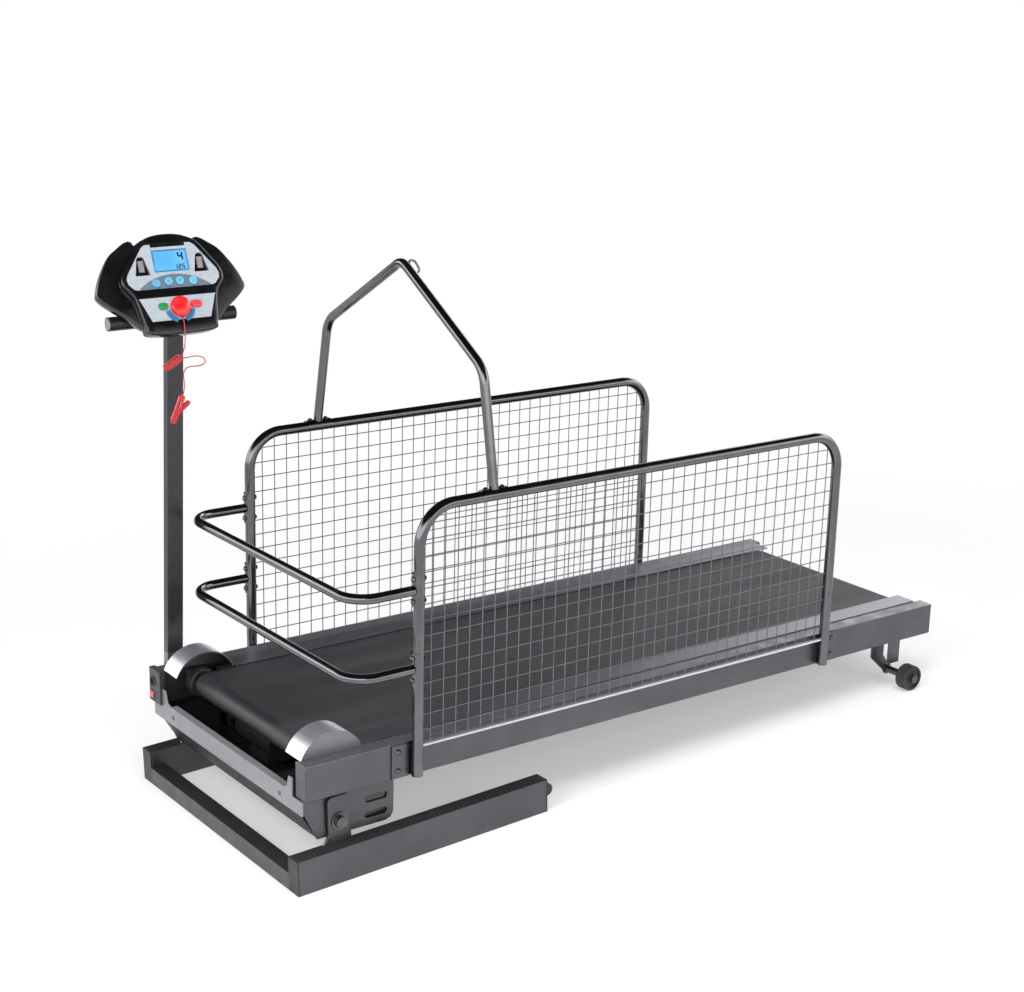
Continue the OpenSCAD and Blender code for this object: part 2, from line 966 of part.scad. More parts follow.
module drive_motor() {
  color([0.20, 0.20, 0.22]) on_deck() difference() {
    union() {
      pin(motor_x, motor_z, motor_in, motor_out, motor_r);
      box(
        [motor_x - motor_foot_w * half_share, motor_in + motor_foot_w * half_share, pan_low + sheet + seat],
        [motor_x + motor_foot_w * half_share, motor_in + motor_foot_len, motor_z]
      );
    }
    pin(motor_x, motor_z, shaft_in - slack, motor_out + over, shaft_d * half_share + fit);
  }
}

module motor_pulley() {
  color([0.45, 0.46, 0.48]) on_deck() union() {
    pin(motor_x, motor_z, shaft_in, pulley_in + pulley_w, shaft_d * half_share);
    pin(motor_x, motor_z, wheel_rim_in, wheel_rim_in + wheel_rim_t, wheel_rim);
    pin(motor_x, motor_z, pulley_in, pulley_in + pulley_w, pinion_r);
  }
}

// Open belt around the two pulleys: two wraps and the straight runs that are tangent to both
module drive_belt() {
  run = [motor_x - roller_x, motor_z + roller_drop];
  reach = norm(run);
  big = pulley_r + slack;
  small = pinion_r + slack;
  swing = acos((big - small) / reach);
  lead = atan2(run[1], run[0]);
  straight = reach * sin(swing);
  width = pulley_w - over - over;
  side = [drive_t, straight + lap + lap, width - swell - swell];
  color([0.05, 0.05, 0.05]) on_deck() translate([roller_x, pulley_in + pulley_w - over, -roller_drop]) {
    rotate([quarter, 0, 0]) union() {
      rotate([0, 0, lead + swing]) rotate_extrude(angle = full - swing - swing) {
        translate([big - swell, 0]) square([drive_t + swell + swell, width]);
      }
      translate([run[0], run[1], 0]) rotate([0, 0, lead - swing]) rotate_extrude(angle = swing + swing) {
        translate([small - swell, 0]) square([drive_t + swell + swell, width]);
      }
      rotate([0, 0, lead + swing]) translate([big, -straight - lap, swell]) cube(side);
      rotate([0, 0, lead - swing]) translate([big, -lap, swell]) cube(side);
    }
  }
}

module motor_controller() {
  low = pan_low + sheet + seat;
  step = (ctrl_size[1] - fin_t) / (fin_count - 1);
  color([0.25, 0.26, 0.28]) on_deck() union() {
    translate([ctrl_x, ctrl_y, low]) cube(ctrl_size);
    for (i = [0 : fin_count - 1]) {
      translate([ctrl_x, ctrl_y + i * step, low + ctrl_size[2] - sink]) {
        cube([ctrl_size[0], fin_t, fin_h + sink]);
      }
    }
  }
}

// Inner cheek of a rear bracket, narrower below the skirt
module cheek_outline() {
  top = -rail_h - seat;
  back = bracket_neck;
  skirt = bracket_skirt;
  difference() {
    union() {
      translate(wheel_at) circle(r = bracket_r);
      polygon([
        [wheel_at[0] - bracket_ahead, top], [wheel_at[0] - back, top], [wheel_at[0] - back, top - skirt],
        [wheel_at[0] + bracket_r, wheel_at[1]], [wheel_at[0], wheel_at[1] - bracket_r],
        [wheel_at[0] - bracket_ahead, top - skirt]
      ]);
    }
    translate(wheel_at) circle(d = wheel_axle_d + fit + fit);
  }
}

module rear_brackets() {
  color([0.30, 0.31, 0.33]) on_deck() pair() union() {
    slab(bracket_in, bracket_in + plate) cheek_outline();
    box(
      [wheel_at[0] - bracket_back - flange_w, bracket_out - plate, -rail_h - seat - flange_h],
      [wheel_at[0] - bracket_back, bracket_out, -rail_h - seat]
    );
    box(
      [wheel_at[0] - bracket_ahead, bracket_in + sink, -rail_h - seat - plate],
      [wheel_at[0] - bracket_neck, bracket_out - sink, -rail_h - seat]
    );
  }
}

module axle_round(y0, y1, r) {
  pin(wheel_at[0], wheel_at[1], y0, y1, r);
}

module rear_axles() {
  end = wheel_in + wheel_w + slack;
  color([0.12, 0.12, 0.13]) on_deck() pair() union() {
    axle_round(bracket_in - axle_nut_t, end + over, wheel_axle_d * half_share);
    axle_round(bracket_in - axle_nut_t - seat, bracket_in - seat, axle_nut_r);
    axle_round(bracket_in + plate + seat, wheel_in - slack, sleeve_r);
    axle_round(end, end + axle_nut_t, axle_nut_r);
  }
}

// Half section of a wheel: bore to tread, with a dish in its outer side
module wheel_section() {
  bore = wheel_axle_d * half_share + fit;
  rim = wheel_d * half_share;
  difference() {
    union() {
      translate([bore, 0]) square([rim - tread_r - bore, wheel_w]);
      translate([hub_r, tread_r]) square([rim - hub_r, wheel_w - tread_r - tread_r]);
      translate([rim - tread_r, tread_r]) circle(r = tread_r);
      translate([rim - tread_r, wheel_w - tread_r]) circle(r = tread_r);
    }
    translate([hub_r, wheel_w - plate]) square([rim - hub_r - tread_r - tread_r, wheel_w]);
  }
}

module rear_wheel() {
  color([0.07, 0.07, 0.08]) on_deck() translate([wheel_at[0], wheel_in, wheel_at[1]]) {
    rotate([-quarter, 0, 0]) rotate_extrude() wheel_section();
  }
}

module rear_wheel_right() {
  mirror([0, 1, 0]) rear_wheel();
}

module rear_wheel_left() {
  rear_wheel();
}

module fence_run(d) {
  translate([0, fence_y, 0]) rotate([quarter, 0, 0]) bent(
    [[fence_front, post_low], [fence_front, fence_z], [fence_rear, fence_z], [fence_rear, post_low]],
    [0, fence_r, fence_r, 0], d
  );
}

// Bolted plate at a post's foot
module fence_tab(from, to) {
  box([from, rail_out + seat, tab_low], [to, rail_out + fence_plate, tab_top]);
}

module fence_frame() {
  difference() {
    union() {
      fence_run(fence_d);
      fence_tab(fence_front - tab_len, fence_front + tab_lap);
      fence_tab(fence_rear - tab_lap, fence_rear + tab_len);
    }
    fence_run(fence_d - fence_wall - fence_wall);
    tab_holes();
    for (z = [bar_upper, bar_lower]) {
      for (s = [-bar_bolt, bar_bolt]) {
        translate([fence_front - fence_d, fence_y, z + s]) rotate([0, quarter, 0]) {
          cylinder(h = fence_d + fence_d, d = bolt_hole);
        }
      }
    }
    for (s = [-arch_bolt, arch_bolt]) {
      translate([arch_x + s, fence_y, fence_z]) cylinder(h = fence_d, d = bolt_hole);
    }
  }
}

module fence_frame_right() {
  color([0.18, 0.18, 0.20]) on_deck() mirror([0, 1, 0]) fence_frame();
}

module fence_frame_left() {
  color([0.18, 0.18, 0.20]) on_deck() fence_frame();
}

// Two layers of straight wires, cut to the inside of the bent frame
module fence_mesh() {
  inner = fence_r - fence_rad - swell * half_share - seat;
  low = rod_z + rod_d * half_share + seat;
  bend_z = fence_z - fence_r;
  step_x = (fence_rear - fence_front) / (upright_count + 1);
  step_z = (fence_z - rod_z) / (level_count + 1);
  off = wire_d * half_share + seat * half_share;
  translate([fence_front + fence_rad + seat, fence_y, rod_z]) rotate([0, quarter, 0]) {
    cylinder(h = fence_rear - fence_front - fence_d - seat - seat, d = rod_d);
  }
  for (i = [1 : upright_count]) {
    x = fence_front + i * step_x;
    past = max(0, fence_front + fence_r - x, x - fence_rear + fence_r);
    top = bend_z + (past > 0 ? sqrt(inner * inner - past * past) : inner);
    translate([x, fence_y - off, low]) cylinder(h = top - low, d = wire_d);
  }
  for (i = [1 : level_count]) {
    z = rod_z + i * step_z;
    past = max(0, z - bend_z);
    back = fence_r - sqrt(inner * inner - past * past);
    translate([fence_front + back, fence_y + off, z]) rotate([0, quarter, 0]) {
      cylinder(h = fence_rear - fence_front - back - back, d = wire_d);
    }
  }
}

module fence_mesh_right() {
  color([0.50, 0.51, 0.53]) on_deck() mirror([0, 1, 0]) fence_mesh();
}

module fence_mesh_left() {
  color([0.50, 0.51, 0.53]) on_deck() fence_mesh();
}

module side_bolts() {
  for (z = tab_zs) {
    for (x = [fence_front - tab_bolt, fence_rear + tab_bolt]) {
      translate([x, rail_out + fence_plate + seat, z]) rotate([-quarter, 0, 0]) dome_bolt(bolt_len);
    }
  }
  for (z = [bar_upper, bar_lower]) {
    for (s = [-bar_bolt, bar_bolt]) {
      translate([fence_front + fence_rad + seat, fence_y, z + s]) rotate([0, quarter, 0]) union() {
        dome();
        translate([0, 0, -fence_d - saddle_t - over]) {
          cylinder(h = fence_d + saddle_t + over + sink, d = bolt_d);
        }
        translate([0, 0, -fence_d - saddle_t - seat - seat - seat]) mirror([0, 0, 1]) dome();
      }
    }
  }
  for (s = [-arch_bolt, arch_bolt]) {
    translate([arch_x + s, fence_y, fence_top + saddle_t + seat + seat]) dome_bolt(bolt_len);
  }
}

module frame_bolts() {
  color([0.08, 0.08, 0.09]) on_deck() {
    pair() side_bolts();
    for (x = [post_x - post_bolt, post_x + post_bolt]) {
      translate([x, post_in + sink + seat, post_bolt_z]) rotate([-quarter, 0, 0]) dome_bolt(bolt_len);
    }
  }
}

// Half shell that hugs a fence tube, around Z
module saddle(height) {
  rotate([0, 0, -saddle_turn * half_share]) rotate_extrude(angle = saddle_turn) {
    translate([fence_rad + seat, -height * half_share]) square([saddle_t, height]);
  }
}

module bar_run(d, past) {
  y = fence_y;
  tail = fence_front - fence_rad - seat - saddle_t + past;
  bent([[tail, -y], [bar_front, -y], [bar_front, y], [tail, y]], [0, bar_r, bar_r, 0], d);
}

module front_bar(z) {
  color([0.20, 0.20, 0.22]) on_deck() translate([0, 0, z]) difference() {
    union() {
      bar_run(bar_d, sink);
      pair() translate([fence_front, fence_y, 0]) rotate([0, 0, half]) saddle(saddle_h);
    }
    bar_run(bar_d - fence_wall - fence_wall, -sink);
    pair() for (s = [-bar_bolt, bar_bolt]) {
      translate([fence_front - fence_d, fence_y, s]) rotate([0, quarter, 0]) {
        cylinder(h = fence_d, d = bolt_hole);
      }
    }
  }
}

module front_bar_upper() {
  front_bar(bar_upper);
}

module front_bar_lower() {
  front_bar(bar_lower);
}

module arch_run(d, past) {
  foot = fence_top + seat + saddle_t - past;
  rotate([quarter, 0, quarter]) bent(
    [[fence_y, foot], [shoulder_y, shoulder_z], [0, crown_z], [-shoulder_y, shoulder_z], [-fence_y, foot]],
    [0, shoulder_r, crown_r, shoulder_r, 0], d
  );
}

module harness_arch() {
  color([0.20, 0.20, 0.22]) on_deck() translate([arch_x, 0, 0]) union() {
    difference() {
      arch_run(arch_d, saddle_t);
      arch_run(arch_d - arch_wall - arch_wall, saddle_t + over);
      pair() translate([-arch_saddle, fence_y, fence_z]) rotate([0, quarter, 0]) {
        cylinder(h = arch_saddle + arch_saddle, r = fence_rad + seat + saddle_t * half_share);
      }
    }
    difference() {
      pair() translate([0, fence_y, fence_z]) rotate([0, -quarter, 0]) saddle(arch_saddle);
      pair() for (s = [-arch_bolt, arch_bolt]) {
        translate([s, fence_y, fence_z]) cylinder(h = fence_d, d = bolt_hole);
      }
    }
  }
}

module harness_hook() {
  slope = atan2(crown_z - shoulder_z, shoulder_y);
  rise = (arch_d * half_share + seat) / cos(slope) + hook_wire * half_share * tan(slope);
  color([0.45, 0.45, 0.47]) on_deck() translate([arch_x, hook_y, crown_z + hook_y * tan(slope) + rise]) {
    rotate([quarter, 0, -quarter]) bent(hook_pts, hook_rs, hook_wire);
  }
}

module console_post() {
  color([0.20, 0.21, 0.22]) on_deck() difference() {
    union() {
      translate([post_x, post_y, post_z]) rotate([0, post_lean, 0]) {
        box(
          [-post_w * half_share, -post_t * half_share, post_low_z - post_z + sheet],
          [post_w * half_share, post_t * half_share, handle_z]
        );
      }
      box(
        [post_x - post_foot_w * half_share, rail_out + seat, post_low_z],
        [post_x + post_foot_w * half_share, post_in + sink, tab_top]
      );
    }
    translate([post_x, post_y, post_z]) rotate([0, post_lean, 0]) {
      box(
        [tube_wall - post_w * half_share, tube_wall - post_t * half_share, post_low_z - post_z - over],
        [post_w * half_share - tube_wall, post_t * half_share - tube_wall, handle_z + over]
      );
    }
    post_holes();
    box(
      [-post_foot_w, rail_out, handle_z - handle_d * half_share - seat],
      [post_foot_w + post_foot_w, post_y + post_t, console_z + handle_z]
    );
  }
}

module handle_round(r, past) {
  translate([handle_x - handle_len * half_share - past, handle_y, handle_z]) rotate([0, quarter, 0]) {
    cylinder(h = handle_len + past + past, r = r);
  }
}

module handlebar() {
  color([0.08, 0.08, 0.09]) difference() {
    union() {
      on_deck() handle_round(handle_d * half_share, 0);
      on_console() box(
        [-head_w * half_share, head_low, back_depth - seat - plate],
        [head_w * half_share, head_top, back_depth - seat]
      );
    }
    on_deck() handle_round(handle_d * half_share - handle_wall, -grip_cap_t);
  }
}

// Rounded hull over the outline's points, between two depths
module shell(pts, low, high) {
  hull() for (p = pts) {
    translate([p[0], p[1], low]) cylinder(h = high - low - shell_edge, r = shell_r, $fn = 32);
    translate([p[0], p[1], high - shell_edge]) {
      cylinder(h = shell_edge, r1 = shell_r, r2 = shell_r - shell_edge, $fn = 32);
    }
  }
}

module console_back() {
  color([0.05, 0.05, 0.06]) on_console() mirror([0, 0, 1]) union() {
    shell(both_sides(back_half), -body_back + seat, -back_depth);
    shell(both_sides(chin_half), -body_back + seat, -chin_depth);
    for (s = [0, 1]) {
      mirror([s, 0, 0]) shell(wing_half, -body_back + seat, -wing_back);
    }
  }
}

module upper_outline(gap) {
  polygon(both_sides([for (p = fascia_half) [p[0] - gap, p[1] > 0 ? p[1] - gap : p[1] + gap]]));
}

module lower_outline(gap) {
  a = lower_half[0] - [gap, gap];
  b = lower_half[1] + [-gap, gap];
  polygon(both_sides([a, b]));
}

module console_front() {
  color([0.04, 0.04, 0.05]) on_console() difference() {
    union() {
      shell(both_sides(body_half), body_back, 0);
      shell(both_sides(chin_half), body_back, 0);
      for (s = [0, 1]) {
        mirror([s, 0, 0]) shell(wing_half, body_back, wing_front);
      }
    }
    translate([0, 0, -pocket]) linear_extrude(height = pocket + over) upper_outline(0);
    translate([0, 0, -pocket]) linear_extrude(height = pocket + over) lower_outline(0);
  }
}

module lens_outline(gap) {
  big = (lens_half * lens_half + lens_sag * lens_sag) / (lens_sag + lens_sag);
  intersection() {
    translate([0, lens_y + lens_sag - big]) circle(r = big - gap);
    translate([-lens_half, lens_y + gap]) square([lens_half + lens_half, lens_sag]);
  }
}

module oval(size) {
  r = size[1] * half_share;
  for (s = [-1, 1]) {
    translate([s * (size[0] * half_share - r), 0]) circle(r = r);
  }
  translate([r - size[0] * half_share, -r]) square([size[0] - size[1], size[1]]);
}

// Recess that widens downwards, with a rounded top
module pod_outline() {
  low = -pod_h * half_share;
  high = pod_h * half_share - pod_r;
  a = pod_top * half_share;
  for (s = [-1, 1]) {
    translate([s * (a - pod_r), high]) circle(r = pod_r);
  }
  translate([pod_r - a, high]) square([pod_top - pod_r - pod_r, pod_r]);
  polygon([[-pod_w * half_share, low], [pod_w * half_share, low], [a, high], [-a, high]]);
}

module arc_outline(at, gap) {
  reach = arc_out + arc_out;
  ahead = reach * cos(arc_turn * half_share);
  aside = reach * sin(arc_turn * half_share) + gap;
  difference() {
    intersection() {
      circle(r = arc_out + gap);
      rotate([0, 0, at]) polygon([[0, 0], [ahead, -aside], [ahead, aside]]);
    }
    circle(r = arc_in - gap);
  }
}

module fascia_panels() {
  deep = -pocket + seat;
  color([0.78, 0.79, 0.83]) on_console() {
    translate([0, 0, deep]) linear_extrude(height = fascia_rise - deep) difference() {
      upper_outline(seat);
      lens_outline(0);
      translate([0, display_y]) square(display_size, center = true);
      translate([-visor_w * half_share, visor_y]) square([visor_w, visor_y]);
      for (s = [-1, 1]) {
        translate([s * pod_x, pod_y]) pod_outline();
      }
    }
    translate([0, 0, deep]) linear_extrude(height = lens_rise - deep) difference() {
      lens_outline(seat);
      for (i = [0 : len(program_xs) - 1]) {
        translate([program_xs[i], program_ys[i]]) circle(r = button_r + slack);
      }
    }
    translate([0, 0, deep]) linear_extrude(height = fascia_rise - deep) difference() {
      lower_outline(seat);
      translate(start_xy) oval([start_size[0] + slack + slack, start_size[1] + slack + slack]);
      translate(stop_xy) oval([stop_size[0] + slack + slack, stop_size[1] + slack + slack]);
      translate(key_xy) circle(r = key_boss_r + slack);
      translate(key_xy) arc_outline(slower_at, slack);
      translate(key_xy) arc_outline(faster_at, slack);
    }
    for (s = [-1, 1]) {
      translate([s * pod_x - insert_w * half_share, pod_y - insert_h * half_share, deep]) {
        cube([insert_w, insert_h, insert_t]);
      }
    }
  }
}

module display_window() {
  deep = -pocket + seat;
  color([0.35, 0.70, 0.95]) on_console() {
    translate([seat - display_size[0] * half_share, display_y + seat - display_size[1] * half_share, deep]) {
      cube([display_size[0] - seat - seat, display_size[1] - seat - seat, display_rise - deep]);
    }
  }
}

module program_button(i) {
  color([0.45, 0.75, 0.85]) on_console() translate([program_xs[i], program_ys[i], button_base]) {
    cylinder(h = lens_rise + button_rise - button_base, r = button_r);
  }
}

module program_button_1() {
  program_button(0);
}

module program_button_2() {
  program_button(1);
}

module program_button_3() {
  program_button(2);
}

module program_button_4() {
  program_button(3);
}

module raised() {
  on_console() translate([0, 0, button_base]) {
    linear_extrude(height = fascia_rise + button_rise - button_base) children();
  }
}

module start_button() {
  color([0.18, 0.53, 0.27]) raised() translate(start_xy) oval(start_size);
}

module stop_button() {
  color([0.80, 0.22, 0.22]) raised() translate(stop_xy) oval(stop_size);
}

module slower_button() {
  color([0.20, 0.43, 0.63]) raised() translate(key_xy) arc_outline(slower_at, 0);
}

module faster_button() {
  color([0.20, 0.43, 0.63]) raised() translate(key_xy) arc_outline(faster_at, 0);
}

module safety_key() {
  dome = (key_r * key_r + key_dome * key_dome) / (key_dome + key_dome);
  color([0.85, 0.06, 0.08]) on_console() translate([key_xy[0], key_xy[1], fascia_rise + slack]) union() {
    cylinder(h = key_t, r = key_r);
    translate([0, 0, -key_boss]) cylinder(h = key_boss + sink, r = key_boss_r);
    intersection() {
      translate([0, 0, key_t + key_dome - dome]) sphere(r = dome);
      cylinder(h = key_t + key_dome + over, r = key_r);
    }
  }
}

// Round tube over a list of points, its rings carried along without twist
function unit(v) = v / norm(v);
function heading(c, i) = unit(c[min(i + 1, len(c) - 1)] - c[max(i - 1, 0)]);
function level(v, t) = unit(v - (v * t) * t);
function ring_normals(c, first) = [
  for (
    i = 0, v = level(first, heading(c, 0));
    i < len(c);
    i = i + 1, v = i < len(c) ? level(v, heading(c, i)) : v
  ) v
];
function ring(c, v, t, r, n) = let (w = cross(t, v)) [
  for (k = [0 : n - 1]) c + r * (cos(full * k / n) * v + sin(full * k / n) * w)
];
module tube(c, r, n, first) {
  m = len(c);
  vs = ring_normals(c, first);
  pts = [for (i = [0 : m - 1]) each ring(c[i], vs[i], heading(c, i), r, n)];
  walls = [for (i = [0 : m - 2]) for (k = [0 : n - 1]) let (j = (k + 1) % n) each [
    [i * n + k, (i + 1) * n + k, (i + 1) * n + j],
    [i * n + k, (i + 1) * n + j, i * n + j]
  ]];
  ends = [for (k = [1 : n - 2]) each [[0, k, k + 1], [(m - 1) * n, (m - 1) * n + k + 1, (m - 1) * n + k]]];
  polyhedron(points = pts, faces = concat(walls, ends));
}

// Smooth line through the points, straight in its first and last stretch
function smooth(a, b, c, d, t) = b + half_share * t * (
  c - a + t * (2 * a - 5 * b + 4 * c - d + t * (3 * (b - c) + d - a))
);
function route(p) = concat(
  [for (i = [0 : len(p) - 2]) for (k = [0 : cord_steps - 1]) (i == 0 || i == len(p) - 2)
    ? p[i] + (p[i + 1] - p[i]) * k / cord_steps
    : smooth(p[i - 1], p[i], p[i + 1], p[i + 2], k / cord_steps)],
  [p[len(p) - 1]]
);

// Hank: flat loops stacked side by side and drawn in a little at the waist
function hank_point(a) = let (
  side = cos(a) > -hank_tiny_share ? 1 : -1,
  along = side * (hank_half - hank_depth) + hank_depth * cos(a),
  pinch = 1 - hank_waist_share * (1 - cos(a) * cos(a)),
  rise = (hank_loops * half_share - a / full) * hank_pitch * pinch
) hank_mid + [
  along * cos(hank_lean) - rise * sin(hank_lean),
  hank_depth * sin(a),
  along * sin(hank_lean) + rise * cos(hank_lean)
];
hank_line = [for (i = [0 : hank_loops * hank_rings]) hank_point(full * i / hank_rings)];
hank_gap = min([
  for (i = [0 : len(hank_line) - 1]) for (k = [i + hank_rings * half_share : len(hank_line) - 1])
    norm(hank_line[i] - hank_line[k])
]) - cord_d;
echo(hank_gap = hank_gap);
hank_in = hank_line[0];
hank_out = hank_line[len(hank_line) - 1];
upper_pts = concat(upper_run, [
  hank_in - [0, cord_turn + cord_turn, 0], hank_in - [0, cord_turn, 0], hank_in - [0, cord_gap, 0]
]);
lower_pts = concat([hank_out + [0, cord_gap, 0], hank_out + [0, cord_turn, 0]], lower_run);

module lanyard_upper() {
  color([0.78, 0.18, 0.18]) translate(cord_from) {
    tube(route(upper_pts), cord_d * half_share, cord_sides, [1, 0, 0]);
  }
}

module lanyard_lower() {
  color([0.78, 0.18, 0.18]) translate(cord_from) {
    tube(route(lower_pts), cord_d * half_share, cord_sides, [0, 0, 1]);
  }
}

module lanyard_hank() {
  color([0.78, 0.18, 0.18]) translate(cord_from) {
    tube(hank_line, cord_d * half_share, hank_sides, [-sin(hank_lean), 0, cos(hank_lean)]);
  }
}

// Clip frame: its eye at the cord's end, its length running down and forward
module on_clip() {
  translate(cord_from + lower_pts[len(lower_pts) - 1]) rotate([0, clip_lean, 0]) children();
}

module clip_body() {
  s = clip_w * half_share;
  rivet = clip_t * half_share + slack + lever_t + slack;
  color([0.70, 0.12, 0.12]) on_clip() difference() {
    union() {
      slab(-clip_t * half_share, clip_t * half_share) {
        translate([-s, clip_w * half_share - clip_len]) square([clip_w, clip_len - clip_w]);
        translate([0, -s - seat]) circle(r = s);
        translate([0, s - clip_len]) circle(r = s);
      }
      pin(0, -clip_pin_at, clip_t * half_share - sink, rivet + sink, clip_pin_d * half_share);
      pin(0, -clip_pin_at, rivet, rivet + rivet_t, clip_pin_d);
    }
    slab(-clip_t, clip_t) {
      translate([-clip_slot_w * half_share, -clip_w - clip_slot_len]) square([clip_slot_w, clip_slot_len]);
    }
  }
}

module clip_lever() {
  low = clip_t * half_share + slack;
  color([0.70, 0.12, 0.12]) on_clip() translate([0, 0, -clip_pin_at]) rotate([0, -lever_lean, 0]) {
    difference() {
      slab(low, low + lever_t) {
        translate([-lever_w * half_share, -lever_len * (1 - lever_end_share)]) square([lever_w, lever_len]);
        translate([0, lever_len * lever_end_share]) circle(d = lever_w);
      }
      pin(0, 0, low - over, low + lever_t + over, clip_pin_d * half_share + fit);
    }
  }
}

base_leg_right();
base_leg_left();
base_cross_tube();
pivot_ears();
leg_end_caps();
pivot_bolts();
side_rail_right();
side_rail_left();
front_cross_member();
deck_cross_tubes();
side_plates();
belly_pan();
running_board();
running_belt();
foot_rails();
rail_end_caps();
roller_covers();
switch_box();
power_rocker();
power_inlet();
roller_brackets();
front_roller();
rear_roller();
drive_motor();
motor_pulley();
drive_belt();
motor_controller();
rear_brackets();
rear_axles();
rear_wheel_right();
rear_wheel_left();
fence_frame_right();
fence_frame_left();
fence_mesh_right();
fence_mesh_left();
frame_bolts();
front_bar_upper();
front_bar_lower();
harness_arch();
harness_hook();
console_post();
handlebar();
console_back();
console_front();
fascia_panels();
display_window();
program_button_1();
program_button_2();
program_button_3();
program_button_4();
start_button();
stop_button();
slower_button();
faster_button();
safety_key();
lanyard_upper();
lanyard_hank();
lanyard_lower();
clip_body();
clip_lever();
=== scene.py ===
import json
import math
import bmesh
import bpy
from mathutils import Matrix, Vector


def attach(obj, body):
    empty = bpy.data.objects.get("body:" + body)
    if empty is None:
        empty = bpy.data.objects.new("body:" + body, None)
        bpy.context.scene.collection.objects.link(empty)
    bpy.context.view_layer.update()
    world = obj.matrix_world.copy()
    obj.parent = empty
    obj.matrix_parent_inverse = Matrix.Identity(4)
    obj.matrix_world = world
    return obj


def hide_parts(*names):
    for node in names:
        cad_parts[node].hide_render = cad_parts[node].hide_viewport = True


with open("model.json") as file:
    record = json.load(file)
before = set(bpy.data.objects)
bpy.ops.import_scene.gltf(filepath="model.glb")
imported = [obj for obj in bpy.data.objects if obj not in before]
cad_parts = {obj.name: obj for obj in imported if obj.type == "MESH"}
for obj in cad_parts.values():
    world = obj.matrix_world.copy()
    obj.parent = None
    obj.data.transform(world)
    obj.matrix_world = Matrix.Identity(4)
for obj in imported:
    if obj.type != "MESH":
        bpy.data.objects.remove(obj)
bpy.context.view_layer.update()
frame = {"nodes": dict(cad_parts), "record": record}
nodes = frame["nodes"]

deck = {"pivot": (0.105, 0.128), "back": 0.090, "drop": 0.152, "incline": 2.2}
face = {"place": (0.0695, 0.338, 0.908), "tilt": 23.0}
millimetre = 0.001


def deckPoint(x, y, z):  # deck frame, metres
    a = math.radians(deck["incline"])
    dx, dz = x - deck["back"], z + deck["drop"]
    return Vector((
        deck["pivot"][0] + dx * math.cos(a) + dz * math.sin(a),
        y,
        deck["pivot"][1] - dx * math.sin(a) + dz * math.cos(a),
    ))


def facePoint(u, v, w):  # console face: along, up, out
    t = math.radians(face["tilt"])
    x, y, z = face["place"]
    return deckPoint(x + u, y + v * math.sin(t) - w * math.cos(t), z + v * math.cos(t) + w * math.sin(t))


def basis(point):  # matrix of a frame given by its point function
    o = point(0, 0, 0)
    axes = [point(*step) - o for step in ((1, 0, 0), (0, 1, 0), (0, 0, 1))]
    m = Matrix(axes).transposed().to_4x4()
    m.translation = o
    return m


deckFrame = basis(deckPoint)
faceFrame = basis(facePoint)
deckMm = deckFrame @ Matrix.Scale(millimetre, 4)
faceMm = faceFrame @ Matrix.Scale(millimetre, 4)
flip = Matrix.Scale(-1, 4, (0, 0, 1))

camera = {
    "place": (-1.78717, -3.52649, 1.99663), "azimuth": -36.45, "elevation": 17.17, "roll": -0.38,
    "lens": 66.794, "sensor": 36.0, "reach": 60.0,
}


def makeCamera(c):
    a, e, r = (math.radians(c[k]) for k in ("azimuth", "elevation", "roll"))
    look = Vector((-math.sin(a) * math.cos(e), math.cos(a) * math.cos(e), -math.sin(e)))
    right = Vector((math.cos(a), math.sin(a), 0.0))
    up = right.cross(look)
    right, up = right * math.cos(r) + up * math.sin(r), up * math.cos(r) - right * math.sin(r)
    data = bpy.data.cameras.new("camera")
    data.lens = c["lens"]
    data.sensor_width = c["sensor"]
    data.sensor_fit = "HORIZONTAL"
    data.clip_end = c["reach"]
    obj = bpy.data.objects.new("camera", data)
    bpy.context.collection.objects.link(obj)
    m = Matrix((right, up, -look)).transposed().to_4x4()
    m.translation = Vector(c["place"])
    obj.matrix_world = m
    bpy.context.scene.camera = obj


makeCamera(camera)
print("camera placed")


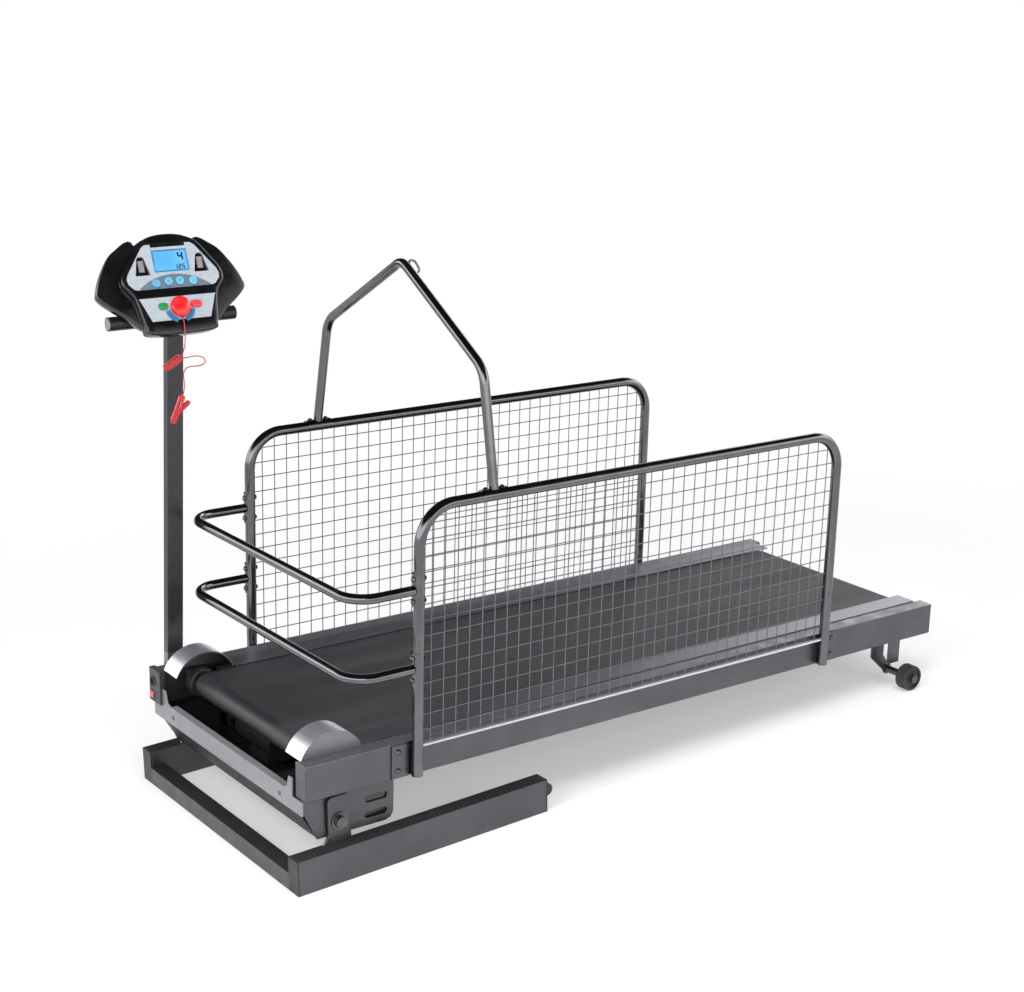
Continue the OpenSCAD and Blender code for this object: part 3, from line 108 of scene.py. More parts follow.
class Shade:  # a shader socket with arithmetic
    def __init__(self, tree, socket=None):
        self.tree = tree
        self.socket = socket

    def node(self, kind, settings=None, inputs=None, out=0):
        made = self.tree.nodes.new(kind)
        for name, value in (settings or {}).items():
            setattr(made, name, value)
        for name, value in (inputs or {}).items():
            if isinstance(value, Shade):
                self.tree.links.new(value.socket, made.inputs[name])
            else:
                made.inputs[name].default_value = value
        return Shade(self.tree, made.outputs[out] if made.outputs else None)

    def maths(self, kind, a, b=0.0):
        return self.node("ShaderNodeMath", {"operation": kind}, {0: a, 1: b})

    def __add__(self, other):
        return self.maths("ADD", self, other)

    def __radd__(self, other):
        return self.maths("ADD", other, self)

    def __sub__(self, other):
        return self.maths("SUBTRACT", self, other)

    def __rsub__(self, other):
        return self.maths("SUBTRACT", other, self)

    def __mul__(self, other):
        return self.maths("MULTIPLY", self, other)

    def __rmul__(self, other):
        return self.maths("MULTIPLY", other, self)

    def __truediv__(self, other):
        return self.maths("DIVIDE", self, other)

    def __rtruediv__(self, other):
        return self.maths("DIVIDE", other, self)

    def __abs__(self):
        return self.maths("ABSOLUTE", self)

    def sine(self):
        return self.maths("SINE", self)

    def root(self):
        return self.maths("SQRT", self)

    def most(self, other):
        return self.maths("MAXIMUM", self, other)

    def above(self, edge):
        return self.maths("GREATER_THAN", self, edge)

    def fade(self, low, high, a=0.0, b=1.0):  # smooth step from a to b
        settings = {"interpolation_type": "SMOOTHSTEP"}
        return self.node("ShaderNodeMapRange", settings, {0: self, 1: low, 2: high, 3: a, 4: b})

    def tint(self, a, b):  # colour a where 0, colour b where 1
        a = a if isinstance(a, Shade) else (*a, 1.0)
        b = b if isinstance(b, Shade) else (*b, 1.0)
        return self.node("ShaderNodeMix", {"data_type": "RGBA"}, {0: self, 6: a, 7: b}, 2)

    def axes(self):
        parts = self.node("ShaderNodeSeparateXYZ", None, {0: self}).socket.node
        return [Shade(self.tree, parts.outputs[i]) for i in range(3)]

    def dot(self, axis):
        return self.node("ShaderNodeVectorMath", {"operation": "DOT_PRODUCT"}, {0: self, 1: axis}, "Value")

    def noise(self, coord, scale, detail=3.0, stretch=None):
        if stretch:
            coord = self.node("ShaderNodeMapping", None, {0: coord, 3: stretch})
        return self.node("ShaderNodeTexNoise", None, {0: coord, "Scale": scale, "Detail": detail})

    def bump(self, height, depth, under=None):
        links = {"Height": height, "Distance": depth, "Strength": 1.0}
        if under:
            links["Normal"] = under
        return self.node("ShaderNodeBump", None, links)

    def rounded(self, radius):  # softens hard edges in the shading
        return self.node("ShaderNodeBevel", {"samples": 4}, {"Radius": radius})

    def worn(self, radius):  # 1 along edges, 0 on flats
        flat = self.node("ShaderNodeNewGeometry", None, None, "Normal")
        return (1.0 - self.rounded(radius).dot(flat)).fade(0.02, 0.3)

    def coord(self, kind):
        return self.node("ShaderNodeTexCoord", None, None, kind)

    def place(self):
        return self.coord("Object")

    def ray(self, kind):
        return self.node("ShaderNodeLightPath", None, None, f"Is {kind} Ray")

    def mirrored(self):  # rays off metal and through glass
        return self.ray("Glossy").most(self.ray("Transmission"))


def surface(name, look, fixed):
    mat = bpy.data.materials.new(name)
    mat.use_nodes = True
    mat.node_tree.nodes.clear()
    s = Shade(mat.node_tree)
    shader = s.node("ShaderNodeBsdfPrincipled", None, {**fixed, **look(s)})
    s.node("ShaderNodeOutputMaterial", None, {0: shader})
    return mat


def levelOver(s, base):  # height over a frame's own floor
    up = base.col[2].to_3d()
    return s.place().dot(tuple(up)) - up.dot(base.translation)


enamel = {
    "fleck": 2600.0, "cloud": 9.0, "smear": 30.0, "peel": 420.0, "peelDepth": 0.000025,
    "fleckShare": 0.35, "cloudShare": 0.25, "wornShare": 0.55,
}


def paint(base, light, rough, radius=0.0015):  # sprayed metallic enamel with worn edges
    def look(s):
        c, p = enamel, s.place()
        fleck = s.noise(p, c["fleck"], 1.0).fade(0.52, 0.70)
        cloud = s.noise(p, c["cloud"]).fade(0.35, 0.7)
        colour = (fleck * c["fleckShare"] + cloud * c["cloudShare"]).tint(base, light)
        return {
            "Base Color": (s.worn(radius) * c["wornShare"]).tint(colour, light),
            "Roughness": s.noise(p, c["smear"], 4.0).fade(0.3, 0.7, rough - 0.06, rough + 0.10),
            "Normal": s.bump(s.noise(p, c["peel"], 2.0), c["peelDepth"], s.rounded(radius)),
        }
    return look


rail = {
    "base": (0.095, 0.097, 0.103), "light": (0.155, 0.158, 0.166), "rough": 0.33, "edge": 0.003,
    # painted highlight: the top colour lightens the rails' top faces
    "top": (0.24, 0.24, 0.265), "topHighlightLevel": -0.0012, "topRough": 0.04,
    # painted shade: the post colour darkens the console post above its foot
    "post": (0.052, 0.053, 0.057), "postFoot": (0.30, 0.42), "postShare": 0.75,
}


def framePaint(s):  # rail enamel, with a painted highlight that lightens the rails' tops and painted shade that darkens the console post
    c = rail
    look = paint(c["base"], c["light"], c["rough"], c["edge"])(s)
    # painted shade: darkens the console post above its foot
    post = s.place().axes()[2].fade(*c["postFoot"]) * c["postShare"]
    # painted highlight: lightens the rails' top faces
    top = levelOver(s, deckFrame).above(c["topHighlightLevel"]) * (1.0 - post.above(0.01))
    look["Base Color"] = top.tint(post.tint(look["Base Color"], c["post"]), c["top"])
    look["Roughness"] = look["Roughness"] + top * c["topRough"]
    return look


drawn = {"lines": 700.0, "haze": 26.0, "depth": 0.00001, "linesShare": 0.4, "hazeShare": 0.3}


def drawnMarks(s, grain=None):  # fine lines and haze, and how far they lighten the metal
    c, p = drawn, s.place()
    lines = s.noise(p, c["lines"], 2.0, grain)
    haze = s.noise(p, c["haze"], 4.0)
    return lines, haze, (lines * c["linesShare"] + haze * c["hazeShare"]).fade(0.2, 0.6)


def metal(base, light, rough, grain=None, radius=0.0008):  # bare or plated metal with fine drawing marks
    def look(s):
        lines, haze, pale = drawnMarks(s, grain)
        return {
            "Base Color": pale.tint(base, light),
            "Roughness": haze.fade(0.3, 0.75, rough, rough + 0.10),
            "Normal": s.bump(lines, drawn["depth"], s.rounded(radius)),
        }
    return look


moulded = {"cloud": 14.0, "smear": 60.0, "wornShare": 0.35}


def plastic(base, light, rough, grain=900.0, depth=0.00005, radius=0.0010):  # moulded plastic with a fine grain
    def look(s):
        c, p = moulded, s.place()
        colour = s.noise(p, c["cloud"]).fade(0.35, 0.7).tint(base, light)
        return {
            "Base Color": (s.worn(radius) * c["wornShare"]).tint(colour, light),
            "Roughness": s.noise(p, c["smear"]).fade(0.3, 0.7, rough - 0.04, rough + 0.08),
            "Normal": s.bump(s.noise(p, grain, 2.0), depth, s.rounded(radius)),
        }
    return look


def gloss(base, light, rough=0.22, depth=0.00001, radius=0.0010):  # smooth coloured plastic
    return plastic(base, light, rough, 1500.0, depth, radius)


belt = {
    "dark": (0.017, 0.019, 0.021), "dusty": (0.042, 0.045, 0.048), "rough": (0.42, 0.56),
    "diamonds": 1400.0, "depth": 0.00012, "dustShare": 0.7, "diamondShare": 0.12,
}


def beltLook(s):  # rubber belt with a pressed diamond grain, scuffed along its middle
    c, p = belt, s.place()
    x, y = p.axes()[:2]
    press = ((x + y) * c["diamonds"]).sine() * ((x - y) * c["diamonds"]).sine()
    dust = s.noise(p, 5.0, 5.0, (0.25, 2.0, 1.0)).fade(0.35, 0.75)
    return {
        "Base Color": (dust * c["dustShare"] + press * c["diamondShare"]).tint(c["dark"], c["dusty"]),
        "Roughness": dust.fade(0.0, 1.0, *c["rough"]),
        "Normal": s.bump(press + s.noise(p, 900.0, 2.0) * 0.6, c["depth"]),
    }


foot = {
    "dark": (0.22, 0.222, 0.24), "light": (0.35, 0.352, 0.375), "rough": (0.30, 0.36),
    "rib": 0.0070, "depth": 0.00006, "edge": 0.0008,
}


def footLook(s):  # extruded foot rail with fine lengthwise ribs
    c, p = foot, s.place()
    rib = (p.axes()[1] * 2.0 * math.pi / c["rib"]).sine()
    streak = s.noise(p, 60.0, 3.0, (0.08, 3.0, 1.0))
    return {
        "Base Color": (streak.fade(0.3, 0.8) * 0.5 + rib * 0.12).tint(c["dark"], c["light"]),
        "Roughness": streak.fade(0.3, 0.7, *c["rough"]),
        "Normal": s.bump(rib, c["depth"], s.rounded(c["edge"])),
    }


cover = {
    # painted shade: the side colour darkens the flat side, the inside colour blackens the inside of the cover
    "silver": ((0.70, 0.71, 0.74), (0.86, 0.87, 0.90)), "side": (0.19, 0.19, 0.205), "inside": (0.008, 0.008, 0.009),
    "metallic": (0.9, 0.55), "rough": (0.36, 0.44), "insideRough": 0.2, "hub": (0.081, 0.0, -0.030),
    "depth": 0.000004, "edge": 0.0018,
}


def coverLook(s):  # silver lacquer round the rim, satin on the flat side; painted shade makes the flat side grey and the inside black
    c, p = cover, s.place()
    x, z = p.axes()[::2]
    nx, ny, nz = s.coord("Normal").axes()
    # painted shade: the flat side darker than the silver rim
    side = abs(ny).fade(0.6, 0.8)
    hub = deckPoint(*c["hub"])
    # painted shade: the inside of the cover painted near black
    inside = 1.0 - ((x - hub.x) * nx + (z - hub.z) * nz).fade(-0.02, 0.0)
    brush = s.noise(p, 240.0, 2.0, (3.0, 0.06, 3.0))
    silver = brush.fade(0.3, 0.7).tint(*c["silver"])
    return {
        "Base Color": inside.tint(side.tint(silver, c["side"]), c["inside"]),
        "Metallic": (1.0 - inside) * side.fade(0.0, 1.0, *c["metallic"]),
        "Roughness": brush.fade(0.2, 0.8, *c["rough"]) + inside * c["insideRough"],
        "Normal": s.bump(brush, c["depth"], s.rounded(c["edge"])),
    }


board = {"dark": (0.010, 0.010, 0.011), "light": (0.035, 0.034, 0.033), "rough": (0.45, 0.6), "depth": 0.00008}


def boardLook(s):  # black faced board with a fine pressed grain
    grain = s.noise(s.place(), 60.0, 5.0, (0.2, 2.0, 2.0))
    return {
        "Base Color": grain.tint(board["dark"], board["light"]),
        "Roughness": grain.fade(0.3, 0.7, *board["rough"]),
        "Normal": s.bump(grain, board["depth"]),
    }


sheath = {
    "dark": (0.30, 0.012, 0.014), "light": (0.68, 0.05, 0.05), "rough": (0.75, 0.55),
    "strands": 1900.0, "round": 25.13, "depth": 0.00025,
}


def cordLook(s):  # woven sheath: two crossing strands round the cord
    c = sheath
    u, v = s.coord("UV").axes()[:2]
    a = (v * c["strands"] + u * c["round"]).sine()
    b = (v * c["strands"] - u * c["round"]).sine()
    weave = (a * b).fade(-0.6, 0.6)
    return {
        "Base Color": weave.tint(c["dark"], c["light"]),
        "Roughness": weave.fade(0.0, 1.0, *c["rough"]),
        "Normal": s.bump(weave, c["depth"]),
    }


backlight = {
    "glass": ((0.04, 0.16, 0.30), (0.06, 0.20, 0.36)), "glow": ((0.062, 0.245, 0.44), (0.088, 0.30, 0.51)),
    "rough": (0.10, 0.16),
}


def displayLook(s):  # backlit screen, a little brighter in places
    c = backlight
    patch = s.noise(s.place(), 18.0, 2.0).fade(0.3, 0.8)
    return {
        "Base Color": patch.tint(*c["glass"]),
        "Emission Color": patch.tint(*c["glow"]),
        "Roughness": patch.fade(0.0, 1.0, *c["rough"]),
    }


fascia = {
    "silver": ((0.30, 0.33, 0.365), (0.35, 0.38, 0.42)), "lens": (0.105, 0.145, 0.18), "insert": (0.62, 0.58, 0.56),
    "lensLevel": 0.0007, "insertLevel": -0.0002, "insertMetal": 0.8, "rough": (0.26, 0.32), "lensRough": 0.08,
    "depth": 0.000004, "edge": 0.0006,
}


def fasciaLook(s):  # silver panels, a grey lens strip above them and bright inserts below
    c = fascia
    level = levelOver(s, faceFrame)
    lens, sunk = level.above(c["lensLevel"]), 1.0 - level.above(c["insertLevel"])
    brush = s.noise(s.place(), 500.0, 2.0, (0.15, 1.0, 1.0))
    silver = brush.fade(0.3, 0.7).tint(*c["silver"])
    return {
        "Base Color": sunk.tint(lens.tint(silver, c["lens"]), c["insert"]),
        "Metallic": sunk * c["insertMetal"],
        "Roughness": brush.fade(0.2, 0.8, *c["rough"]) - lens * c["lensRough"],
        "Normal": s.bump(brush, c["depth"], s.rounded(c["edge"])),
    }


fence = {
    "tube": (0.125, 0.128, 0.134), "light": (0.20, 0.203, 0.21), "rough": (0.10, 0.17), "depth": 0.0000015,
    "plate": (0.12, 0.123, 0.13), "plateTop": -0.002, "plateFrom": 0.3542, "plateRough": 0.2,
}


def fenceLook(s):  # dark polished tube, its bolted plates painted like the rail
    c = fence
    lines, haze, pale = drawnMarks(s)
    below = 1.0 - levelOver(s, deckFrame).above(c["plateTop"])
    plate = below * (1.0 - abs(s.place().axes()[1]).above(c["plateFrom"]))
    return {
        "Base Color": plate.tint(pale.tint(c["tube"], c["light"]), c["plate"]),
        "Roughness": haze.fade(0.3, 0.75, *c["rough"]) + plate * c["plateRough"],
        "Normal": s.bump(lines, c["depth"]),
    }


wire = {
    "dark": (0.15, 0.153, 0.165), "light": (0.25, 0.253, 0.265), "rough": 0.30,
    # painted highlight: the rod colour lightens the bottom rod
    "rod": (0.62, 0.63, 0.65), "rodTop": -0.0054,
}


def wireLook(s):  # drawn wire, with a painted highlight that makes the bottom rod brighter
    c = wire
    look = metal(c["dark"], c["light"], c["rough"])(s)
    # painted highlight on the bottom rod
    rod = 1.0 - levelOver(s, deckFrame).above(c["rodTop"])
    look["Base Color"] = rod.tint(look["Base Color"], c["rod"])
    return look


finishes = {
    "base_paint": (paint((0.085, 0.087, 0.092), (0.15, 0.153, 0.16), 0.36, 0.003), {"Metallic": 0.8}),
    "frame_paint": (framePaint, {"Metallic": 0.8}),
    "pan_paint": (plastic((0.009, 0.009, 0.010), (0.020, 0.020, 0.022), 0.46, 700.0, 0.00002), {}),
    "light_paint": (paint((0.24, 0.245, 0.26), (0.36, 0.365, 0.38), 0.38), {"Metallic": 0.4}),
    "black_plastic": (plastic((0.012, 0.012, 0.013), (0.035, 0.035, 0.037), 0.48), {}),
    "switch_plastic": (plastic((0.016, 0.016, 0.018), (0.045, 0.045, 0.048), 0.40), {}),
    "dark_steel": (metal((0.08, 0.08, 0.085), (0.20, 0.20, 0.21), 0.22), {"Metallic": 0.9}),
    "board_wood": (boardLook, {}),
    "belt_rubber": (beltLook, {}),
    "drive_rubber": (plastic((0.010, 0.010, 0.010), (0.025, 0.025, 0.025), 0.7), {}),
    "foot_aluminium": (footLook, {"Metallic": 0.9}),
    "cover_plastic": (coverLook, {"Coat Weight": 0.3}),
    "rocker_red": (gloss((0.50, 0.012, 0.012), (0.70, 0.03, 0.03), 0.20), {"Coat Weight": 0.4}),
    "roller_steel": (metal((0.42, 0.43, 0.45), (0.62, 0.63, 0.65), 0.28, (1.0, 8.0, 1.0)), {"Metallic": 1.0}),
    "motor_iron": (paint((0.030, 0.030, 0.033), (0.08, 0.08, 0.085), 0.45), {"Metallic": 0.2}),
    "controller_aluminium": (metal((0.25, 0.26, 0.28), (0.40, 0.41, 0.43), 0.40), {"Metallic": 0.9}),
    "wheel_rubber": (plastic((0.014, 0.014, 0.015), (0.040, 0.040, 0.042), 0.60, 500.0, 0.0001), {}),
    "fence_tube": (fenceLook, {"Metallic": 1.0}),
    "mesh_wire": (wireLook, {"Metallic": 0.85}),
    "handle_black": (plastic((0.004, 0.004, 0.005), (0.012, 0.012, 0.013), 0.30, 1200.0, 0.00006), {}),
    "console_black": (
        plastic((0.0025, 0.0025, 0.003), (0.006, 0.006, 0.007), 0.16, 700.0, 0.00002, 0.003), {"Coat Weight": 0.5},
    ),
    "fascia_silver": (fasciaLook, {"Coat Weight": 0.2}),
    "display_glass": (displayLook, {"Emission Strength": 1.0, "Coat Weight": 0.6}),
    "button_cyan": (gloss((0.085, 0.31, 0.45), (0.14, 0.42, 0.56)), {"Coat Weight": 0.4}),
    "button_green": (gloss((0.016, 0.20, 0.05), (0.05, 0.33, 0.10)), {"Coat Weight": 0.4}),
    "button_red": (gloss((0.55, 0.035, 0.035), (0.72, 0.08, 0.08)), {"Coat Weight": 0.4}),
    "button_blue": (gloss((0.02, 0.13, 0.30), (0.06, 0.22, 0.44)), {"Coat Weight": 0.4}),
    "key_red": (gloss((0.70, 0.006, 0.010), (0.86, 0.02, 0.025), 0.20, 0.00001, 0.002), {"Coat Weight": 0.5}),
    "cord_red": (cordLook, {"Sheen Weight": 0.2}),
    "clip_plastic": (gloss((0.42, 0.012, 0.014), (0.60, 0.03, 0.03), 0.25, 0.00002), {"Coat Weight": 0.3}),
}
mats = {slot: surface(slot, look, fixed) for slot, (look, fixed) in finishes.items()}
for part in frame["record"]["subparts"]:
    mesh = nodes[part["node"]].data
    mesh.materials.clear()
    mesh.materials.append(mats[part["material_slot"]])
print("materials set")

sharpAngle = math.radians(38)


def finishPiece(name, bm, slot, body, *replaced):
    mesh = bpy.data.meshes.new(name)
    bmesh.ops.recalc_face_normals(bm, faces=bm.faces)
    bm.to_mesh(mesh)
    bm.free()
    for polygon in mesh.polygons:
        polygon.use_smooth = True
    mesh.set_sharp_from_angle(angle=sharpAngle)
    obj = bpy.data.objects.new(name, mesh)
    bpy.context.collection.objects.link(obj)
    mesh.materials.append(mats[slot])
    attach(obj, body)
    if replaced:
        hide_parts(*replaced)
    return obj


def prism(bm, outline, low, high, soft, place):  # block over an outline with a rounded upper edge
    old = set(bm.verts)
    base = bm.faces.new([bm.verts.new((u, v, low)) for u, v in outline])
    grown = bmesh.ops.extrude_face_region(bm, geom=[base])["geom"]
    tops = [g for g in grown if isinstance(g, bmesh.types.BMVert)]
    bmesh.ops.translate(bm, verts=tops, vec=(0, 0, high - low))
    rim = [e for e in bm.edges if e.verts[0] in tops and e.verts[1] in tops]
    bmesh.ops.bevel(
        bm, geom=rim, offset=soft, offset_type="OFFSET", affect="EDGES", segments=3, profile=0.5, material=-1,
    )
    bmesh.ops.transform(bm, matrix=place, verts=[v for v in bm.verts if v not in old])


def lathe(bm, profile, sides, place, closed=False):  # turns (radius, height) points round the third axis
    old = set(bm.verts)
    line = [bm.verts.new((r, 0, h)) for r, h in profile]
    ends = line[1:] + line[:1] if closed else line[1:]
    edges = [bm.edges.new(pair) for pair in zip(line, ends)]
    bmesh.ops.spin(
        bm, geom=line + edges, cent=(0, 0, 0), axis=(0, 0, 1), dvec=(0, 0, 0),
        angle=2 * math.pi, steps=sides, use_merge=True,
    )
    bmesh.ops.remove_doubles(bm, verts=[v for v in bm.verts if v not in old], dist=0.0001)
    bmesh.ops.transform(bm, matrix=place, verts=[v for v in bm.verts if v not in old])


def boxLine(x, y, w, h):
    return [(x - w / 2, y - h / 2), (x + w / 2, y - h / 2), (x + w / 2, y + h / 2), (x - w / 2, y + h / 2)]


def ovalLine(x, y, w, h, steps=16):
    r, line = h / 2, []
    for side, start in ((1, -90), (-1, 90)):
        for i in range(steps + 1):
            a = math.radians(start + 180 * i / steps)
            line.append((x + side * (w / 2 - r) + r * math.cos(a), y + r * math.sin(a)))
    return line


def arcLine(x, y, inner, outer, at, turn, steps=16):
    angles = [math.radians(at - turn / 2 + turn * i / steps) for i in range(steps + 1)]
    line = [(x + outer * math.cos(a), y + outer * math.sin(a)) for a in angles]
    return line + [(x + inner * math.cos(a), y + inner * math.sin(a)) for a in reversed(angles)]


def between(a, b, c, d, t):  # smooth curve from b to c, led by a and d
    return b + 0.5 * t * (c - a + t * (2 * a - 5 * b + 4 * c - d + t * (3 * (b - c) + d - a)))


def loopLine(points, grow, steps):  # closed smooth line through points pushed outwards
    n = len(points)
    pushed = []
    for i, p in enumerate(points):
        along = (Vector(points[(i + 1) % n]) - Vector(points[i - 1])).normalized()
        pushed.append(Vector(p) + grow * Vector((along.y, -along.x)))
    line = []
    for i in range(n):
        around = [pushed[(i + k) % n] for k in (-1, 0, 1, 2)]
        line += [between(*around, k / steps) for k in range(steps)]
    return line


def bothSides(half):  # left half from the top down, then the right half back up
    return [(-x, y) for x, y in half] + [(x, y) for x, y in reversed(half)]


shellShape = {
    "body": [(18, 112), (45, 106), (70, 93), (96, 59), (115, 30), (117, 12), (99, -12), (91, -36), (82, -84),
             (70, -99)],
    "wing": [(80, 100), (117, 87), (150, 50), (173, 4), (173, -12), (124, -50), (86, -80)],
    "back": [(30, 92), (60, 86), (104, 18), (96, -34), (70, -84)], "grow": 9.0, "steps": 6, "soft": 5.0,
    "split": -28.0, "wingSpan": (-37.0, -16.0), "backDepth": -52.0, "pocket": -4.0,
    "upper": [(57, 98), (66, 92), (110, 34), (115, 22), (113, 11), (101, -2), (93, -4)],
    "lower": [(95, -24), (73, -78)],
}


def makeShell(c):  # console halves with soft edges and the two pockets of the fascia
    bm = bmesh.new()
    prism(bm, loopLine(bothSides(c["body"]), c["grow"], c["steps"]), c["split"], 0.0, c["soft"], Matrix())
    top = max(bm.faces, key=lambda f: f.calc_center_median().z)
    edges = list(top.edges)
    bmesh.ops.delete(bm, geom=[top], context="FACES_ONLY")
    for name in ("upper", "lower"):
        rim = [bm.verts.new((x, y, 0.0)) for x, y in bothSides(c[name])]
        ring = [bm.edges.new(pair) for pair in zip(rim, rim[1:] + rim[:1])]
        edges += ring
        grown = bmesh.ops.extrude_edge_only(bm, edges=ring)["geom"]
        low = [g for g in grown if isinstance(g, bmesh.types.BMVert)]
        bmesh.ops.translate(bm, verts=low, vec=(0, 0, c["pocket"]))
        floor = [g for g in grown if isinstance(g, bmesh.types.BMEdge) and all(v in low for v in g.verts)]
        bmesh.ops.contextual_create(bm, geom=floor)
    bmesh.ops.triangle_fill(bm, use_beauty=True, use_dissolve=False, edges=edges)
    back, front = c["wingSpan"]
    middle = (back + front) / 2.0
    for side in (-1, 1):
        half = [(side * x, y) for x, y in c["wing"]]
        outline = loopLine(half if side < 0 else half[::-1], c["grow"], c["steps"])
        prism(bm, outline, middle, front, c["soft"], Matrix())
        prism(bm, outline, -middle, -back, c["soft"], flip)
    bmesh.ops.transform(bm, matrix=faceMm, verts=bm.verts)
    finishPiece("console_face", bm, "console_black", "deck", "console_front")
    bm = bmesh.new()
    outline = loopLine(bothSides(c["back"]), c["grow"], c["steps"])
    prism(bm, outline, -c["split"], -c["backDepth"], c["soft"], faceMm @ flip)
    finishPiece("console_rear", bm, "console_black", "deck", "console_back")


screen = {
    "size": (87.0, 51.0), "middle": 59.0, "top": 0.8, "rim": 3.4, "rimTop": 1.5, "gap": 0.4, "soft": 0.3,
    "stroke": 0.24, "width": 0.55, "inkTop": 0.95, "inkShare": 0.92, "inkSoft": 0.03,
    "digits": ((26.0, 67.5, 18.0, "4"), (11.0, 43.5, 9.5, "1"), (20.5, 43.5, 9.5, "2"), (30.0, 43.5, 9.5, "5")),
    "strokes": {"1": "bc", "2": "abged", "4": "fgbc", "5": "afgcd"},
}


def makeScreen(c):  # blue frame and seven-stroke digits
    bm = bmesh.new()
    w, h = c["size"]
    rim, y = c["rim"], c["middle"]
    for side in (-1, 1):
        upright = boxLine(side * (w - rim) / 2, y, rim, h - c["gap"])
        level = boxLine(0, y + side * (h - rim) / 2, w - 2 * rim, rim - c["gap"])
        for bar in (upright, level):
            prism(bm, bar, c["top"], c["rimTop"], c["soft"], faceMm)
    finishPiece("screen_frame", bm, "button_blue", "deck")
    bm = bmesh.new()
    for x, y, tall, digit in c["digits"]:
        wide, thick = tall * c["width"], tall * c["stroke"]
        spots = {
            "a": (0, tall / 2, wide, thick), "d": (0, -tall / 2, wide, thick), "g": (0, 0, wide, thick),
            "b": (wide / 2, tall / 4, thick, tall / 2), "c": (wide / 2, -tall / 4, thick, tall / 2),
            "e": (-wide / 2, -tall / 4, thick, tall / 2), "f": (-wide / 2, tall / 4, thick, tall / 2),
        }
        for name in c["strokes"][digit]:
            dx, dy, sw, sh = spots[name]
            stroke = boxLine(x + dx, y + dy, sw * c["inkShare"], sh * c["inkShare"])
            prism(bm, stroke, c["top"], c["inkTop"], c["inkSoft"], faceMm)
    finishPiece("screen_digits", bm, "console_black", "deck")


caps = {
    "programs": ((-46.0, 8.5), (-15.0, 11.0), (13.0, 11.0), (46.0, 8.5)),
    "base": -2.4, "top": 3.5, "radius": 10.0, "sides": 40,
    "dish": ((0.0, 1.4), (0.3, 0.6), (0.9, 0.1), (1.6, 0.0), (2.4, 0.2), (3.2, 0.7), (5.0, 0.95)), "dishDepth": 1.0,
    "mark": (5.0, 1.3), "markSpan": (-1.2, -0.8), "markSoft": 0.1,
    "twoMarks": (1, 2), "secondUp": 2.4, "secondShare": 0.6,
    "start": (-40.0, -45.0, 24.0, 16.0), "stop": (42.0, -45.0, 28.0, 17.0), "height": 3.1, "soft": 1.2,
    "middle": (0.0, -49.0), "arc": (27.0, 37.0), "turn": 58.0, "slower": 221.0, "faster": 319.0, "arcSoft": 0.9,
}


def makeCaps(c):  # push buttons with rounded edges
    r, top, (w, h) = c["radius"], c["top"], c["mark"]
    dish = [(r - inset, top - drop) for inset, drop in c["dish"]]
    profile = [(0, c["base"]), (r, c["base"]), *dish, (0, top - c["dishDepth"])]
    span = [top + z for z in c["markSpan"]]
    for i, (x, y) in enumerate(c["programs"]):
        body = f"program_{i + 1}"
        bm = bmesh.new()
        lathe(bm, profile, c["sides"], faceMm @ Matrix.Translation((x, y, 0)))
        finishPiece(f"program_cap_{i + 1}", bm, "button_cyan", body, f"program_button_{i + 1}")
        bm = bmesh.new()
        prism(bm, boxLine(x, y, w, h), *span, c["markSoft"], faceMm)
        if i in c["twoMarks"]:
            prism(bm, boxLine(x, y + c["secondUp"], w * c["secondShare"], h), *span, c["markSoft"], faceMm)
        finishPiece(f"program_mark_{i + 1}", bm, "button_blue", body)
    for name, slot in (("start", "button_green"), ("stop", "button_red")):
        bm = bmesh.new()
        prism(bm, ovalLine(*c[name]), c["base"], c["height"], c["soft"], faceMm)
        finishPiece(f"{name}_cap", bm, slot, name, f"{name}_button")
    for name in ("slower", "faster"):
        bm = bmesh.new()
        outline = arcLine(*c["middle"], *c["arc"], c[name], c["turn"])
        prism(bm, outline, c["base"], c["height"], c["arcSoft"], faceMm)
        finishPiece(f"{name}_cap", bm, "button_blue", name, f"{name}_button")


keyCap = {
    "middle": (0.0, -49.0, 0.0), "sides": 64, "eye": (0.0, -71.5, 5.5), "collarSides": 24,
    "profile": [(0, -2.2), (8, -2.2), (8, 0.8), (22.4, 0.8), (23.2, 1.3), (23.5, 2.2), (23.5, 8.6), (23.1, 10.0),
                (22.0, 11.1), (18.0, 12.6), (12.0, 14.0), (6.0, 14.6), (0, 14.8)],
    "collar": [(1.7, -1.0), (3.1, -1.0), (3.1, 2.6), (2.7, 3.6), (1.7, 4.0)],
}


def quarter(axis, side=1):
    return Matrix.Rotation(side * math.pi / 2, 4, axis)


def makeKey(c):  # domed key and the collar that its cord leaves through
    bm = bmesh.new()
    lathe(bm, c["profile"], c["sides"], faceMm @ Matrix.Translation(c["middle"]))
    lathe(bm, c["collar"], c["collarSides"], faceMm @ Matrix.Translation(c["eye"]) @ quarter("X"), True)
    finishPiece("key_cap", bm, "key_red", "key", "safety_key")


trim = {
    "visor": (0.0, 94.3, 84.0, 5.6), "visorSpan": (-3.9, -0.6), "visorSoft": 0.8,
    "gripX": (-86.5, 230.5), "gripYZ": (364.0, 829.0), "gripSides": 40,
    "gripEnd": [(0, 1.5), (11.5, 1.5), (12.8, 1.1), (13.4, 0.2), (13.4, 0.0)],
    "screws": ((-248.0, -94.0), (248.0, -94.0)), "screwX": -8.0, "screwSides": 24,
    "screwHead": [(0, 2.4), (2.4, 2.3), (4.2, 1.6), (5.2, 0.5), (5.2, 0.0)],
    "rocker": (341.0, -64.0), "rockerHole": (18.4, 17.4), "rockerRim": 2.4, "rockerX": -14.0,
    "rockerHigh": 1.3, "rockerSoft": 0.4,
    # painted shade: dark sheets behind the side plates' slots
    "shadeSheet": (189.0, -143.5, 74.0, 66.0), "shadeSheetY": (318.2, 319.6), "shadeSheetSoft": 0.2,
}


